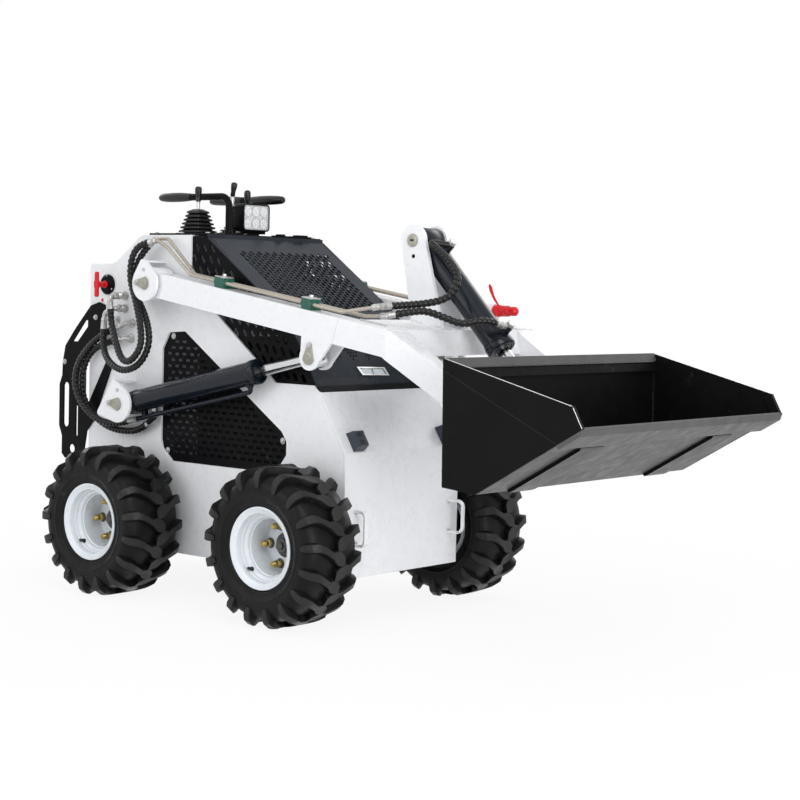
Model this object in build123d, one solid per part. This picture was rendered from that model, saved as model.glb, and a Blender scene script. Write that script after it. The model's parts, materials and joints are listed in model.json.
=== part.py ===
"""Compact stand-on skid steer loader with a bucket, as separate parts in millimetres.

Machine axes: +X forward, +Y to the operator's left, +Z up, ground at z = 0.
Working coordinates have x = 0 midway between the axles. Each part is saved shifted along X,
so that the origin is the middle of the machine's length from step to cutting edge.
"""

import math
import os

from build123d import *

# ---------------------------------------------------------------- driving dimensions
WHEELBASE = 730.0
TYRE_RADIUS = 230.0
TYRE_WIDTH = 213.0
TYRE_GAP = 25.5             # between a side plate and the tyre beside it
RIM_FLANGE_RADIUS = 118.0
RIM_HALF_WIDTH = 92.0
BEAD_SEAT_RADIUS = 101.6
RIM_WELL_RADIUS = 84.0
RIM_WALL = 4.0
DISC_OFFSET = -20.0         # outer face of the wheel disc, outboard of the wheel's middle
DISC_T = 6.0
STUD_COUNT = 5
STUD_CIRCLE_RADIUS = 57.15
STUD_RADIUS = 6.0
HUB_FLANGE_RADIUS = 74.0
HUB_FLANGE_T = 12.0
HUB_PILOT_RADIUS = 35.0
SHAFT_RADIUS = 20.0
MOTOR_RADIUS = 62.0

BODY_HALF_WIDTH = 260.0
PLATE = 8.0                 # side, nose, rear and floor plates
SHEET = 4.0                 # hood, covers and panels
REAR_X = -636.0
FRONT_X = 482.0
BELLY_Z = 130.0
SHELF_Z = 1020.0            # top of the side plates at the rear
DECK_Z = 1113.0             # top of the side plates under the console

PIVOT = (-277.0, 962.0)     # lift arm pivot, (x, z)
ARM_GAP = 6.0               # running gap between a side plate and the arm
ARM_WIDTH = 68.0
ARM_DEPTH = 76.0
ARM_SLOPE = math.radians(8.8)
KNEE_X = 691.0
LEG_SLOPE = math.radians(33.0)
LEG_WIDTH = 40.0
LEG_TOE_IN = 14.0           # how far the front leg steps inwards from the beam
ATTACH_PIN = (944.0, 562.0)

CYLINDER_REAR = (-395.0, 585.0)
CYLINDER_FRONT = (399.0, 764.0)
LIFT_BARREL_LENGTH = 583.0
LIFT_BARREL_RADIUS = 35.0
LIFT_GLAND_RADIUS = 38.0
LIFT_ROD_RADIUS = 17.5
TOWER_PIN = (542.0, 1105.0)
TILT_ROD_PIN = (910.0, 716.0)
TILT_BARREL_LENGTH = 423.0
TILT_BARREL_RADIUS = 38.0
TILT_GLAND_RADIUS = 43.0
TILT_ROD_RADIUS = 19.0
ROD_EYE_RADIUS = 32.0

BUCKET_HALF_WIDTH = 501.0
BUCKET_BACK_TOP = (1017.0, 792.0)
BUCKET_BACK_BOTTOM = (1023.0, 463.0)
BUCKET_HEEL = (1130.0, 454.0)
BUCKET_TIP = (1446.0, 639.0)
BUCKET_FRONT_TOP = (1416.0, 693.0)
BUCKET_SHEET = 6.0
BUCKET_SIDE = 8.0

STEP_REAR_X = -880.0
STEP_HINGE = (-666.0, 202.0)
STEP_Z = 186.0
STEP_SHEET = 5.0

PIN_RADIUS = 15.0
PIN_PLAY = 0.05             # radial running clearance of a pin or a rod
SIDE_PLAY = 1.5             # gap beside a lug that turns between two plates
BODY_CLEARANCE = 6.0        # between a side plate and what swings beside it
PIPE_RADIUS = 6.5
HOSE_RADIUS = 10.0          # over its spiral guard
SEAT_GAP = 0.2              # radial gap of a pipe in its clamp

ORIGIN_X = (STEP_REAR_X + BUCKET_TIP[0]) / 2
INNER_Y = BODY_HALF_WIDTH - PLATE
WHEEL_Y = BODY_HALF_WIDTH + TYRE_GAP + TYRE_WIDTH / 2
ARM_INNER_Y = BODY_HALF_WIDTH + ARM_GAP
ARM_OUTER_Y = ARM_INNER_Y + ARM_WIDTH
CYLINDER_Y = BODY_HALF_WIDTH + BODY_CLEARANCE + LIFT_GLAND_RADIUS


# ---------------------------------------------------------------- helpers
def polygon(points):
    """Closed flat outline drawn in (x, z)."""
    return make_face(Polyline(*points, close=True))


def across(outline, y_low, y_high):
    """Push an outline drawn in (x, z) through the machine from y_low to y_high."""
    solid = extrude(Plane.XZ * outline, amount=y_high - y_low, dir=(0, 1, 0))
    return Pos(0, y_low, 0) * solid


def disc(centre, radius):
    """Round outline at a point (x, z)."""
    return Pos(*centre) * Circle(radius)


def hull(*discs):
    """Outline wrapped tightly around several (centre, radius) discs."""
    edges = ShapeList()
    for centre, radius in discs:
        edges += disc(centre, radius).edges()
    return make_hull(edges)


def band(points, thickness):
    """Strip of constant thickness to the right of a line of points."""
    far_side = []
    for index, (x, z) in enumerate(points):
        normals = []
        for a, b in ((index - 1, index), (index, index + 1)):
            if a >= 0 and b < len(points):
                dx = points[b][0] - points[a][0]
                dz = points[b][1] - points[a][1]
                length = math.hypot(dx, dz)
                normals.append((dz / length, -dx / length))
        nx = sum(n[0] for n in normals) / len(normals)
        nz = sum(n[1] for n in normals) / len(normals)
        scale = thickness / (nx * nx + nz * nz)
        far_side.append((x + nx * scale, z + nz * scale))
    return polygon(list(points) + far_side[::-1])


def cross_pin(centre, radius, y_low, y_high):
    """Round bar across the machine at (x, z)."""
    return across(disc(centre, radius), y_low, y_high)


def through(centre, radius):
    """Cutter for a bore across the whole machine at (x, z)."""
    return cross_pin(centre, radius, -2 * WHEEL_Y, 2 * WHEEL_Y)


def bar(start, end, radius):
    """Round bar between two points in space."""
    line = Vector(*end) - Vector(*start)
    return extrude(Plane(origin=start, z_dir=line) * Circle(radius), amount=line.length)


def box(low, high):
    """Block between two opposite corners."""
    size = [b - a for a, b in zip(low, high)]
    return Pos(*low) * Box(*size, align=(Align.MIN, Align.MIN, Align.MIN))


def left(solid):
    """The mirror image on the machine's left side."""
    return mirror(solid, about=Plane.XZ)


def both_sides(*solids):
    """The solids and their mirror images on the other side of the machine."""
    return Part() + [copy for solid in solids for copy in (solid, left(solid))]


def beside(start, end, distance, offset=0.0):
    """Point at a distance from start towards end, moved by offset to the left of that line."""
    length = math.dist(start, end)
    dx = (end[0] - start[0]) / length
    dz = (end[1] - start[1]) / length
    return (start[0] + dx * distance - dz * offset, start[1] + dz * distance + dx * offset)


def tube(points, radius, bend_radii):
    """Round tube along straight runs joined by tangent arcs."""
    path = FilletPolyline(*points, radius=bend_radii)
    return sweep(Plane(origin=path @ 0, z_dir=path % 0) * Circle(radius), path=path)


def revolved(points):
    """Ring about the Y axis from an outline in (radius, y)."""
    return revolve(make_face(Polyline(*points, close=True)), axis=Axis.Y)


def mirrored(points):
    """Points and their mirror images at negative y, going round."""
    return list(points) + [(r, -y) for r, y in reversed(points)]


def save(name, solid):
    """Write one part, moved so that the machine's middle is at x = 0."""
    export_step(Pos(-ORIGIN_X, 0, 0) * solid, f"parts/{name}.step")


os.makedirs("parts", exist_ok=True)

# ---------------------------------------------------------------- body shell
NOSE_LIP = (377.0, 662.0)   # top edge of the nose plate, where the hood lands
NOSE_FOLD = (FRONT_X, 492.0)
HOOD_REAR_X = -98.0
HOOD_LINE = [(HOOD_REAR_X, 1107.0), (225.0, 880.0), (300.0, 790.0), (352.0, 700.0), NOSE_LIP]
SHELF_FRONT_X = -520.0      # where the rear cover starts to climb to the deck
DECK_REAR_X = -395.0
DECK_FRONT_X = -171.0
PANEL_EDGE = [(-60.0, 984.0), (-60.0, 880.0), (197.0, 680.0), (352.0, 680.0)]
WINDOW = [(-292, 480), (-292, 760), (-262, 812), (-190, 818), (228, 538), (248, 510),
          (248, 470), (205, 414), (-240, 414), (-285, 452)]
WINDOW_CORNER = 8.0
DECK_CURVE = 60.0           # radius of the side plate's curves from shelf to deck

nose = across(band([NOSE_LIP, NOSE_FOLD, (FRONT_X, BELLY_Z)], PLATE),
              -BODY_HALF_WIDTH, BODY_HALF_WIDTH)
shelf_end = (SHELF_FRONT_X, SHELF_Z + 2)
deck_start = (DECK_REAR_X, DECK_Z)
side_corners = [
    (REAR_X, BELLY_Z), (REAR_X, SHELF_Z), shelf_end, deck_start, (DECK_FRONT_X, DECK_Z),
    (DECK_FRONT_X, 1000), *PANEL_EDGE, NOSE_LIP, NOSE_FOLD, (FRONT_X, BELLY_Z)]
side_outline = polygon(side_corners)
curved = [v for v in side_outline.vertices()
          if min(math.dist((v.X, v.Y), corner) for corner in (shelf_end, deck_start)) < 1]
side_outline = fillet(curved, DECK_CURVE)
window = fillet(polygon(WINDOW).vertices(), WINDOW_CORNER)
side_plate = across(side_outline - window, -BODY_HALF_WIDTH, -INNER_Y) - nose
for pivot in (PIVOT, CYLINDER_REAR):
    side_plate -= through(pivot, PIN_RADIUS)
save("side_plates", both_sides(side_plate))
save("nose_plate", nose)
save("rear_panel", box((REAR_X, -INNER_Y, BELLY_Z), (REAR_X + PLATE, INNER_Y, SHELF_Z - SHEET)))
deck_line = [(REAR_X, SHELF_Z), shelf_end, deck_start, (DECK_FRONT_X, DECK_Z)]
rear_cover = across(band(deck_line, SHEET), -INNER_Y, INNER_Y)
save("rear_cover", rear_cover)

# ---------------------------------------------------------------- engine and floor
ENGINE_LOW = (-210.0, -180.0, 380.0)
ENGINE_HIGH = (190.0, 180.0, 800.0)
SHELF_MARGIN = 20.0         # how far the engine's shelf reaches past the engine
belly = box((REAR_X + PLATE, -INNER_Y, BELLY_Z), (FRONT_X - PLATE, INNER_Y, BELLY_Z + PLATE))
engine_shelf = box((ENGINE_LOW[0] - SHELF_MARGIN, -INNER_Y, ENGINE_LOW[2] - PLATE),
                   (ENGINE_HIGH[0] + SHELF_MARGIN, INNER_Y, ENGINE_LOW[2]))
save("floor_plates", Part() + [belly, engine_shelf])
save("engine_block", box(ENGINE_LOW, ENGINE_HIGH))

# ---------------------------------------------------------------- hood, panels and console
HOOD_SIDE_GAP = 2.0         # how far the hood stays inside the body's width
COVER_OVERLAP = 25.0        # how far the hood's side panel runs in under the deck
WINDOW_LAP = 12.0           # how far an access panel reaches behind the window's edge
CONSOLE_T = 6.0
CONSOLE_REAR_X = -372.0
CONSOLE_TOP = DECK_Z + CONSOLE_T
hood_half_width = BODY_HALF_WIDTH - HOOD_SIDE_GAP
hood = across(band(HOOD_LINE, SHEET), -hood_half_width, hood_half_width)
hood = hood - nose - both_sides(side_plate)
save("hood", hood)
panel_rear_x = DECK_FRONT_X - COVER_OVERLAP
hood_panel_outline = polygon([
    (panel_rear_x, DECK_Z - SHEET), (HOOD_REAR_X, DECK_Z - SHEET), *HOOD_LINE[1:4],
    (360, 660), (180, 660), (-85, 860), (-85, 965), (panel_rear_x, 985)])
hood_panel = across(hood_panel_outline, -INNER_Y, -INNER_Y + SHEET)
hood_panel = hood_panel - hood - rear_cover - nose
save("hood_side_panels", both_sides(hood_panel))
access_outline = offset(polygon(WINDOW), WINDOW_LAP)
access_panel = across(access_outline, -INNER_Y, -INNER_Y + SHEET) - hood_panel
save("access_panels", both_sides(access_panel))
console_half_width = BODY_HALF_WIDTH - 12
console = box((CONSOLE_REAR_X, -console_half_width, DECK_Z),
              (HOOD_REAR_X - 2, console_half_width, CONSOLE_TOP))
save("console_plate", console)

# ---------------------------------------------------------------- controls on the console
GRIP_Z = 1238.0             # height of both hand grips
GRIP_Y = 110.0
POST_RADIUS = 11.0
GRIP_RADIUS = 16.0
POST_BEND = 34.0
NEAR_POST_X = -160.0
NEAR_GRIP = (-475.0, -330.0)
FAR_POST_X = -262.0
FAR_GRIP = (-470.0, -136.0)
post_low = (NEAR_POST_X, -GRIP_Y, CONSOLE_TOP)
post_bend = (NEAR_POST_X, -GRIP_Y, GRIP_Z)
grip_start = (NEAR_GRIP[1], -GRIP_Y, GRIP_Z)
near_handle = tube([post_low, post_bend, grip_start], POST_RADIUS, POST_BEND)
near_handle += bar(grip_start, (NEAR_GRIP[0], -GRIP_Y, GRIP_Z), GRIP_RADIUS)
far_handle = bar((FAR_POST_X, GRIP_Y, CONSOLE_TOP), (FAR_POST_X, GRIP_Y, GRIP_Z), POST_RADIUS)
far_handle += bar((FAR_GRIP[0], GRIP_Y, GRIP_Z), (FAR_GRIP[1], GRIP_Y, GRIP_Z), GRIP_RADIUS)
save("handlebars", Part() + [near_handle, far_handle])

BOOT_PLEATS = 6
BOOT_TAPER = 0.09           # how much narrower each pleat is than the first
BOOT_FOLD = 0.78            # width at the top of a pleat, as a share of its bottom


def boot(x, y, width, height):
    """Pleated square boot on the console, narrowing upwards."""
    solid = Part()
    rise = height / BOOT_PLEATS
    for index in range(BOOT_PLEATS):
        low = index * rise
        wide = width * (1 - BOOT_TAPER * index)
        narrow = wide * BOOT_FOLD
        bottom = Plane.XY.offset(low) * Rectangle(wide, wide)
        top = Plane.XY.offset(low + rise) * Rectangle(narrow, narrow)
        solid += loft([bottom.face(), top.face()])
    return Pos(x, y, CONSOLE_TOP) * solid


LEVER_RADIUS = 4.0
KNOB_RADIUS = 11.0
# x, y, bottom and top of the knob, lean of the stalk along x
LEVERS = [(-257, -150, 1200, 1268, 0), (-233, -32, 1222, 1287, 8), (-233, 42, 1216, 1267, 0)]
boots = [boot(-257, -150, 84, 92), boot(-252, 5, 88, 36)]
levers = []
for x, y, knob_low, knob_top, lean in LEVERS:
    lever = bar((x, y, CONSOLE_TOP), (x + lean, y, knob_low), LEVER_RADIUS)
    lever += bar((x + lean, y, knob_low), (x + 2 * lean, y, knob_top), KNOB_RADIUS)
    levers.append(lever - boots[0] - boots[1] - console)
save("lever_boots", Part() + boots)
save("control_levers", Part() + levers)

LAMP_LOW = (-205.0, -58.0, 1134.0)
LAMP_HIGH = (-150.0, 62.0, 1220.0)
LAMP_STALK_X = (-190.0, -162.0)
LAMP_STALK_Y = (-20.0, 24.0)
MARKER_LAMP_Y = (-58.0, 66.0)
MARKER_LAMP_SPAN = (76.0, 101.0)  # along the hood's steep lower face
MARKER_LAMP_T = 8.0
work_lamp = box(LAMP_LOW, LAMP_HIGH)
work_lamp += box((LAMP_STALK_X[0], LAMP_STALK_Y[0], CONSOLE_TOP),
                 (LAMP_STALK_X[1], LAMP_STALK_Y[1], LAMP_LOW[2]))
face_start, face_end = HOOD_LINE[2], HOOD_LINE[3]
marker_outline = polygon([beside(face_start, face_end, MARKER_LAMP_SPAN[i], rise)
                          for i, rise in ((0, 0), (1, 0), (1, MARKER_LAMP_T), (0, MARKER_LAMP_T))])
marker_lamp = across(marker_outline, *MARKER_LAMP_Y)
save("lamps", Part() + [work_lamp, marker_lamp])

# ---------------------------------------------------------------- wheels
TYRE_WALL = 18.0
TREAD_WALL = 24.0
half_tyre = TYRE_WIDTH / 2
tyre_outer = [(BEAD_SEAT_RADIUS, 86), (RIM_FLANGE_RADIUS + 4, 89), (150, half_tyre - 2),
              (180, half_tyre), (TYRE_RADIUS - 20, half_tyre - 8),
              (TYRE_RADIUS - 4, half_tyre - 26), (TYRE_RADIUS, half_tyre - 52)]
tyre_inner = [(BEAD_SEAT_RADIUS, 70), (RIM_FLANGE_RADIUS + 4, 70), (150, half_tyre - 2 - TYRE_WALL),
              (180, half_tyre - TYRE_WALL), (TYRE_RADIUS - TREAD_WALL - 4, half_tyre - 34),
              (TYRE_RADIUS - TREAD_WALL, half_tyre - 52)]
rim_line = [(RIM_FLANGE_RADIUS, RIM_HALF_WIDTH), (BEAD_SEAT_RADIUS, 86), (BEAD_SEAT_RADIUS, 62),
            (RIM_WELL_RADIUS, 48), (RIM_WELL_RADIUS, -48), (BEAD_SEAT_RADIUS, -62),
            (BEAD_SEAT_RADIUS, -86), (RIM_FLANGE_RADIUS, -RIM_HALF_WIDTH)]
disc_back = DISC_OFFSET - DISC_T
hub_back = disc_back - HUB_FLANGE_T
STUD_PROUD = 30.0
STUD_PLAY = 1.0
PILOT_PLAY = 0.5
PILOT_PROUD = 8.0
stud_places = [(STUD_CIRCLE_RADIUS * math.cos(2 * math.pi * index / STUD_COUNT),
                STUD_CIRCLE_RADIUS * math.sin(2 * math.pi * index / STUD_COUNT))
               for index in range(STUD_COUNT)]


def tyre():
    """Hollow tyre carcass about the Y axis."""
    return revolved(mirrored(tyre_outer)) - revolved(mirrored(tyre_inner))


def rim():
    """Steel rim with its well and disc; outboard is +Y."""
    solid = revolved([(r - RIM_WALL, y) for r, y in rim_line] + rim_line[::-1])
    well_inside = RIM_WELL_RADIUS - RIM_WALL
    solid += revolved([(HUB_PILOT_RADIUS, DISC_OFFSET), (well_inside, DISC_OFFSET),
                       (well_inside, disc_back), (HUB_PILOT_RADIUS, disc_back)])
    for place in stud_places:
        solid -= cross_pin(place, STUD_RADIUS + STUD_PLAY, disc_back - 1, DISC_OFFSET + 1)
    return solid


def hub():
    """Wheel hub: flange behind the disc, pilot through it, and its studs."""
    solid = cross_pin((0, 0), HUB_FLANGE_RADIUS, hub_back, disc_back)
    solid += cross_pin((0, 0), HUB_PILOT_RADIUS - PILOT_PLAY, disc_back, DISC_OFFSET + PILOT_PROUD)
    for place in stud_places:
        solid += cross_pin(place, STUD_RADIUS, disc_back, DISC_OFFSET + STUD_PROUD)
    return solid - cross_pin((0, 0), SHAFT_RADIUS + PIN_PLAY, hub_back - 1, DISC_OFFSET - 2)


MOTOR_GAP = 5.0             # between the motor's face and the hub flange
SHAFT_END_GAP = 6.0
motor_face_y = WHEEL_Y + hub_back - MOTOR_GAP
motors = []
for end, axle_x in (("front", WHEELBASE / 2), ("rear", -WHEELBASE / 2)):
    for side, sign in (("left", 1), ("right", -1)):
        place = Pos(axle_x, sign * WHEEL_Y, TYRE_RADIUS) * Rot(0, 0, 0 if sign > 0 else 180)
        save(f"tyre_{end}_{side}", place * tyre())
        save(f"rim_{end}_{side}", place * rim())
        save(f"hub_{end}_{side}", place * hub())
    axle = (axle_x, TYRE_RADIUS)
    motor = cross_pin(axle, MOTOR_RADIUS, -motor_face_y, -BODY_HALF_WIDTH)
    motor += cross_pin(axle, SHAFT_RADIUS, -WHEEL_Y - DISC_OFFSET + SHAFT_END_GAP, -motor_face_y)
    motors.append(motor)
save("wheel_motors", both_sides(*motors))

# ---------------------------------------------------------------- pivot brackets and their pins
BRACKET_T = 10.0
BRACKET_GAP = 8.0           # between the arm's outer face and the bracket
GUSSET_T = 6.0
PIVOT_PLATE_RADIUS = 54.0
PIVOT_PLATE_TOP = (PIVOT[0] - 8, PIVOT[1] + 60)
CYLINDER_PLATE_RADIUS = 58.0
CYLINDER_PLATE_TOP = (CYLINDER_REAR[0] - 16, CYLINDER_REAR[1] + 67)
CYLINDER_PLATE_TAIL = (CYLINDER_REAR[0] - 83, CYLINDER_REAR[1] - 30)
BRACKET_Y = ARM_OUTER_Y + BRACKET_GAP
bracket_outer_y = BRACKET_Y + BRACKET_T


def outer_bracket(outline, pin_place, apex, root_low, root_high):
    """Outer plate bored for its pin, with the flat gusset that joins it to the side plate."""
    bracket = across(outline, -bracket_outer_y, -BRACKET_Y)
    gusset = make_face(Polyline((root_low, -BODY_HALF_WIDTH), (root_high, -BODY_HALF_WIDTH),
                                (apex[0] + 6, -BRACKET_Y), (apex[0] - 14, -BRACKET_Y), close=True))
    bracket += Pos(0, 0, apex[1]) * extrude(gusset, amount=GUSSET_T)
    return bracket - through(pin_place, PIN_RADIUS)


pivot_bracket = outer_bracket(
    hull((PIVOT, PIVOT_PLATE_RADIUS), (PIVOT_PLATE_TOP, 14)), PIVOT,
    (PIVOT[0] - 9, PIVOT[1] + 64), PIVOT[0] - 98, PIVOT[0] - 4)
cylinder_bracket = outer_bracket(
    hull((CYLINDER_REAR, CYLINDER_PLATE_RADIUS), (CYLINDER_PLATE_TOP, 9), (CYLINDER_PLATE_TAIL, 9)),
    CYLINDER_REAR, (CYLINDER_REAR[0] - 16, CYLINDER_REAR[1] + 63),
    CYLINDER_REAR[0] - 96, CYLINDER_REAR[0] - 14)
save("arm_brackets", both_sides(pivot_bracket, cylinder_bracket))

KEEPER_T = 5.0
KEEPER_REACH = (-32.0, 2.0)
KEEPER_BOLT_RADIUS = 7.0
KEEPER_BOLT_HEIGHT = 7.0


def headed_pin(centre, y_inner, y_outer):
    """Pin with its drop-shaped keeper plate and bolt on the outer end, on the right side."""
    bolt = (centre[0] + KEEPER_REACH[0], centre[1] + KEEPER_REACH[1])
    pin = cross_pin(centre, PIN_RADIUS, -y_outer, -y_inner)
    pin += across(hull((centre, PIN_RADIUS + 6), (bolt, 8)), -y_outer - KEEPER_T, -y_outer)
    head_low = -y_outer - KEEPER_T - KEEPER_BOLT_HEIGHT
    return pin + cross_pin(bolt, KEEPER_BOLT_RADIUS, head_low, -y_outer - KEEPER_T)


save("chassis_pins", both_sides(headed_pin(PIVOT, INNER_Y, bracket_outer_y),
                                headed_pin(CYLINDER_REAR, INNER_Y, bracket_outer_y)))

# ---------------------------------------------------------------- lift arms
TOP_OFFSET = ARM_DEPTH / 2
BOSS_RADIUS = ARM_DEPTH / 2 + 12
ATTACH_BOSS_RADIUS = 42.0
KNEE_SET_BACK = 22.0        # how far the lower knee lies behind the upper one
LEG_TOP_END_X = 905.0
LEG_BOTTOM_END_X = 868.0
LEG_INNER_Y = ARM_INNER_Y - LEG_TOE_IN
LEG_OUTER_Y = LEG_INNER_Y + LEG_WIDTH
EAR_T = 10.0
EAR_RADIUS = 37.0
EYE_SWEEP_RADIUS = ROD_EYE_RADIUS + 36   # room above the rod eye, between the ears


def beam_z(x, rise):
    """Height at x of a line along the beam, a distance above its centre line."""
    return PIVOT[1] - math.tan(ARM_SLOPE) * (x - PIVOT[0]) + rise / math.cos(ARM_SLOPE)


def on_beam(x, rise=0.0):
    """Point at x, a distance above the beam's top face."""
    return (x, beam_z(x, TOP_OFFSET + rise))


def under_beam(x):
    """Point at x on the beam's bottom face."""
    return (x, beam_z(x, -TOP_OFFSET))


knee_top = on_beam(KNEE_X)
knee_bottom = under_beam(KNEE_X - KNEE_SET_BACK)
leg_fall = math.tan(LEG_SLOPE)
attach_front_x = ATTACH_PIN[0] + ATTACH_BOSS_RADIUS - 1
attach_rear_x = ATTACH_PIN[0] - ATTACH_BOSS_RADIUS + 1
arm_profile = polygon([
    on_beam(PIVOT[0]), knee_top,
    (LEG_TOP_END_X, knee_top[1] - leg_fall * (LEG_TOP_END_X - knee_top[0])),
    (attach_front_x, ATTACH_PIN[1] + 60), (attach_front_x, ATTACH_PIN[1]),
    (attach_rear_x, ATTACH_PIN[1]),
    (LEG_BOTTOM_END_X, knee_bottom[1] - leg_fall * (LEG_BOTTOM_END_X - knee_bottom[0])),
    knee_bottom, under_beam(PIVOT[0])])
arm_profile = arm_profile + disc(PIVOT, BOSS_RADIUS) + disc(ATTACH_PIN, ATTACH_BOSS_RADIUS)
arm_rear_x = PIVOT[0] - BOSS_RADIUS - 10
leg_front_x = ATTACH_PIN[0] + ATTACH_BOSS_RADIUS + 10
arm_plan = make_face(Polyline(
    (arm_rear_x, -ARM_OUTER_Y), (KNEE_X - 10, -ARM_OUTER_Y), (LEG_BOTTOM_END_X, -LEG_OUTER_Y),
    (leg_front_x, -LEG_OUTER_Y), (leg_front_x, -LEG_INNER_Y), (KNEE_X + 20, -LEG_INNER_Y),
    (KNEE_X - 50, -ARM_INNER_Y), (arm_rear_x, -ARM_INNER_Y), close=True))
arm = across(arm_profile, -ARM_OUTER_Y - 5, -LEG_INNER_Y + 5)
arm &= Pos(0, 0, BELLY_Z) * extrude(arm_plan, amount=DECK_Z)
ear_outline = polygon([
    under_beam(368), (366, CYLINDER_FRONT[1] + 16), CYLINDER_FRONT,
    (CYLINDER_FRONT[0] + 33, CYLINDER_FRONT[1] - 16), under_beam(482)])
ear_outline += disc(CYLINDER_FRONT, EAR_RADIUS)
ears = across(ear_outline, -ARM_OUTER_Y, -ARM_OUTER_Y + EAR_T)
ears += across(ear_outline, -ARM_INNER_Y - EAR_T, -ARM_INNER_Y)
arm -= cross_pin(CYLINDER_FRONT, EYE_SWEEP_RADIUS, -ARM_OUTER_Y + EAR_T, -ARM_INNER_Y - EAR_T)
arm += ears
arm = arm - through(PIVOT, PIN_RADIUS + PIN_PLAY) - through(ATTACH_PIN, PIN_RADIUS + PIN_PLAY)
arm -= through(CYLINDER_FRONT, PIN_RADIUS)
save("lift_arm_right", arm)
save("lift_arm_left", left(arm))

MEMBER_REAR_X = 530.0
MEMBER_T = 12.0
MEMBER_DROP = (18.0, -70.0) # from the knee to the foot of the member's front plate
member_foot = (knee_top[0] + MEMBER_DROP[0], knee_top[1] + MEMBER_DROP[1])
member = across(band([on_beam(MEMBER_REAR_X), knee_top, member_foot], MEMBER_T),
                -ARM_INNER_Y, ARM_INNER_Y)
save("cross_member", member - both_sides(arm))

TOWER_GAP_Y = 45.0          # from the centre line to the inner face of a tower plate
TOWER_T = 12.0
TOWER_TOP_RADIUS = 44.0
TOWER_FOOT_X = (541.0, 655.0)
TOWER_PIN_HEAD_T = 6.0
tower_outline = polygon([
    (TOWER_PIN[0] - TOWER_TOP_RADIUS, TOWER_PIN[1]), (TOWER_PIN[0] + TOWER_TOP_RADIUS, TOWER_PIN[1]),
    on_beam(TOWER_FOOT_X[1]), on_beam(TOWER_FOOT_X[0])])
tower_outline = tower_outline + disc(TOWER_PIN, TOWER_TOP_RADIUS) - disc(TOWER_PIN, PIN_RADIUS)
tower_outer_y = TOWER_GAP_Y + TOWER_T
save("tilt_tower", both_sides(across(tower_outline, -tower_outer_y, -TOWER_GAP_Y)))
tower_head_y = tower_outer_y + TOWER_PIN_HEAD_T
tower_pin = cross_pin(TOWER_PIN, PIN_RADIUS, -tower_head_y, tower_head_y)
tower_pin += both_sides(cross_pin(TOWER_PIN, PIN_RADIUS + 7, -tower_head_y, -tower_outer_y))
front_pin = headed_pin(CYLINDER_FRONT, ARM_OUTER_Y - EAR_T, ARM_OUTER_Y)
front_stub = cross_pin(CYLINDER_FRONT, PIN_RADIUS, -ARM_INNER_Y - EAR_T, -ARM_INNER_Y)
save("arm_pins", Part() + [tower_pin, both_sides(front_pin, front_stub)])

# ---------------------------------------------------------------- hydraulic cylinders
GLAND_LENGTH = 28.0
ROD_SPARE = 12.0            # left behind the rod's end when the cylinder is shut
TILT_EYE_WIDTH = 50.0
LIFT_STROKE_IN = 100.0      # how far each rod can still go in from where it rests
TILT_STROKE_IN = 32.0
FEED_OFFSET = -54.0         # the feed tube's middle, from the lift barrel's axis
FEED_RADIUS = 7.5
PORT_RADIUS = 12.0


def cylinder(base, head, y, length, radii, stroke_in, lug_width, eye_width):
    """Barrel and rod of one cylinder, from its base pin to its rod eye."""
    barrel_radius, gland_radius, rod_radius = radii

    def on_axis(distance):
        x, z = beside(base, head, distance)
        return (x, y, z)

    bore_end = barrel_radius + ROD_SPARE
    barrel = bar(on_axis(barrel_radius * 0.6), on_axis(length - GLAND_LENGTH), barrel_radius)
    barrel += bar(on_axis(length - GLAND_LENGTH), on_axis(length), gland_radius)
    barrel += cross_pin(base, barrel_radius, y - lug_width / 2, y + lug_width / 2)
    barrel -= bar(on_axis(bore_end), on_axis(length + 1), rod_radius + PIN_PLAY)
    barrel -= through(base, PIN_RADIUS + PIN_PLAY)
    rod = bar(on_axis(bore_end + stroke_in), on_axis(math.dist(base, head)), rod_radius)
    rod += cross_pin(head, ROD_EYE_RADIUS, y - eye_width / 2, y + eye_width / 2)
    return barrel, rod - through(head, PIN_RADIUS + PIN_PLAY)


def on_lift(distance, offset, y=-CYLINDER_Y):
    """Point beside the right lift cylinder's axis."""
    x, z = beside(CYLINDER_REAR, CYLINDER_FRONT, distance, offset)
    return (x, y, z)


def on_tilt(distance, offset, y=0.0):
    """Point beside the tilt cylinder's axis."""
    x, z = beside(TOWER_PIN, TILT_ROD_PIN, distance, offset)
    return (x, y, z)


lift_eye_width = 2 * (ARM_OUTER_Y - EAR_T - CYLINDER_Y - SIDE_PLAY)
lift_lug_width = 2 * (BRACKET_Y - CYLINDER_Y - SIDE_PLAY)
lift_barrel, lift_rod = cylinder(
    CYLINDER_REAR, CYLINDER_FRONT, -CYLINDER_Y, LIFT_BARREL_LENGTH,
    (LIFT_BARREL_RADIUS, LIFT_GLAND_RADIUS, LIFT_ROD_RADIUS),
    LIFT_STROKE_IN, lift_lug_width, lift_eye_width)
FEED_START = 28.0
FEED_FERRULE = -10.0        # where the hose meets the feed tube's ferrule
FEED_END = LIFT_BARREL_LENGTH - 44
BASE_PORT_Y = BODY_HALF_WIDTH + 26
BASE_PORT = [(52.0, -74.0), (90.0, -59.0), (106.0, -26.0)]   # along and off the barrel's axis
FERRULE_RADIUS = 9.0
feed_tube = tube([on_lift(FEED_START, FEED_OFFSET), on_lift(FEED_END, FEED_OFFSET),
                  on_lift(FEED_END, -LIFT_BARREL_RADIUS + 5)], FEED_RADIUS, 16)
feed_tube += bar(on_lift(FEED_FERRULE, FEED_OFFSET), on_lift(FEED_START, FEED_OFFSET), FERRULE_RADIUS)
feed_clip = bar(on_lift(70, -LIFT_BARREL_RADIUS + 8), on_lift(70, FEED_OFFSET + 4), FEED_RADIUS)
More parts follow.
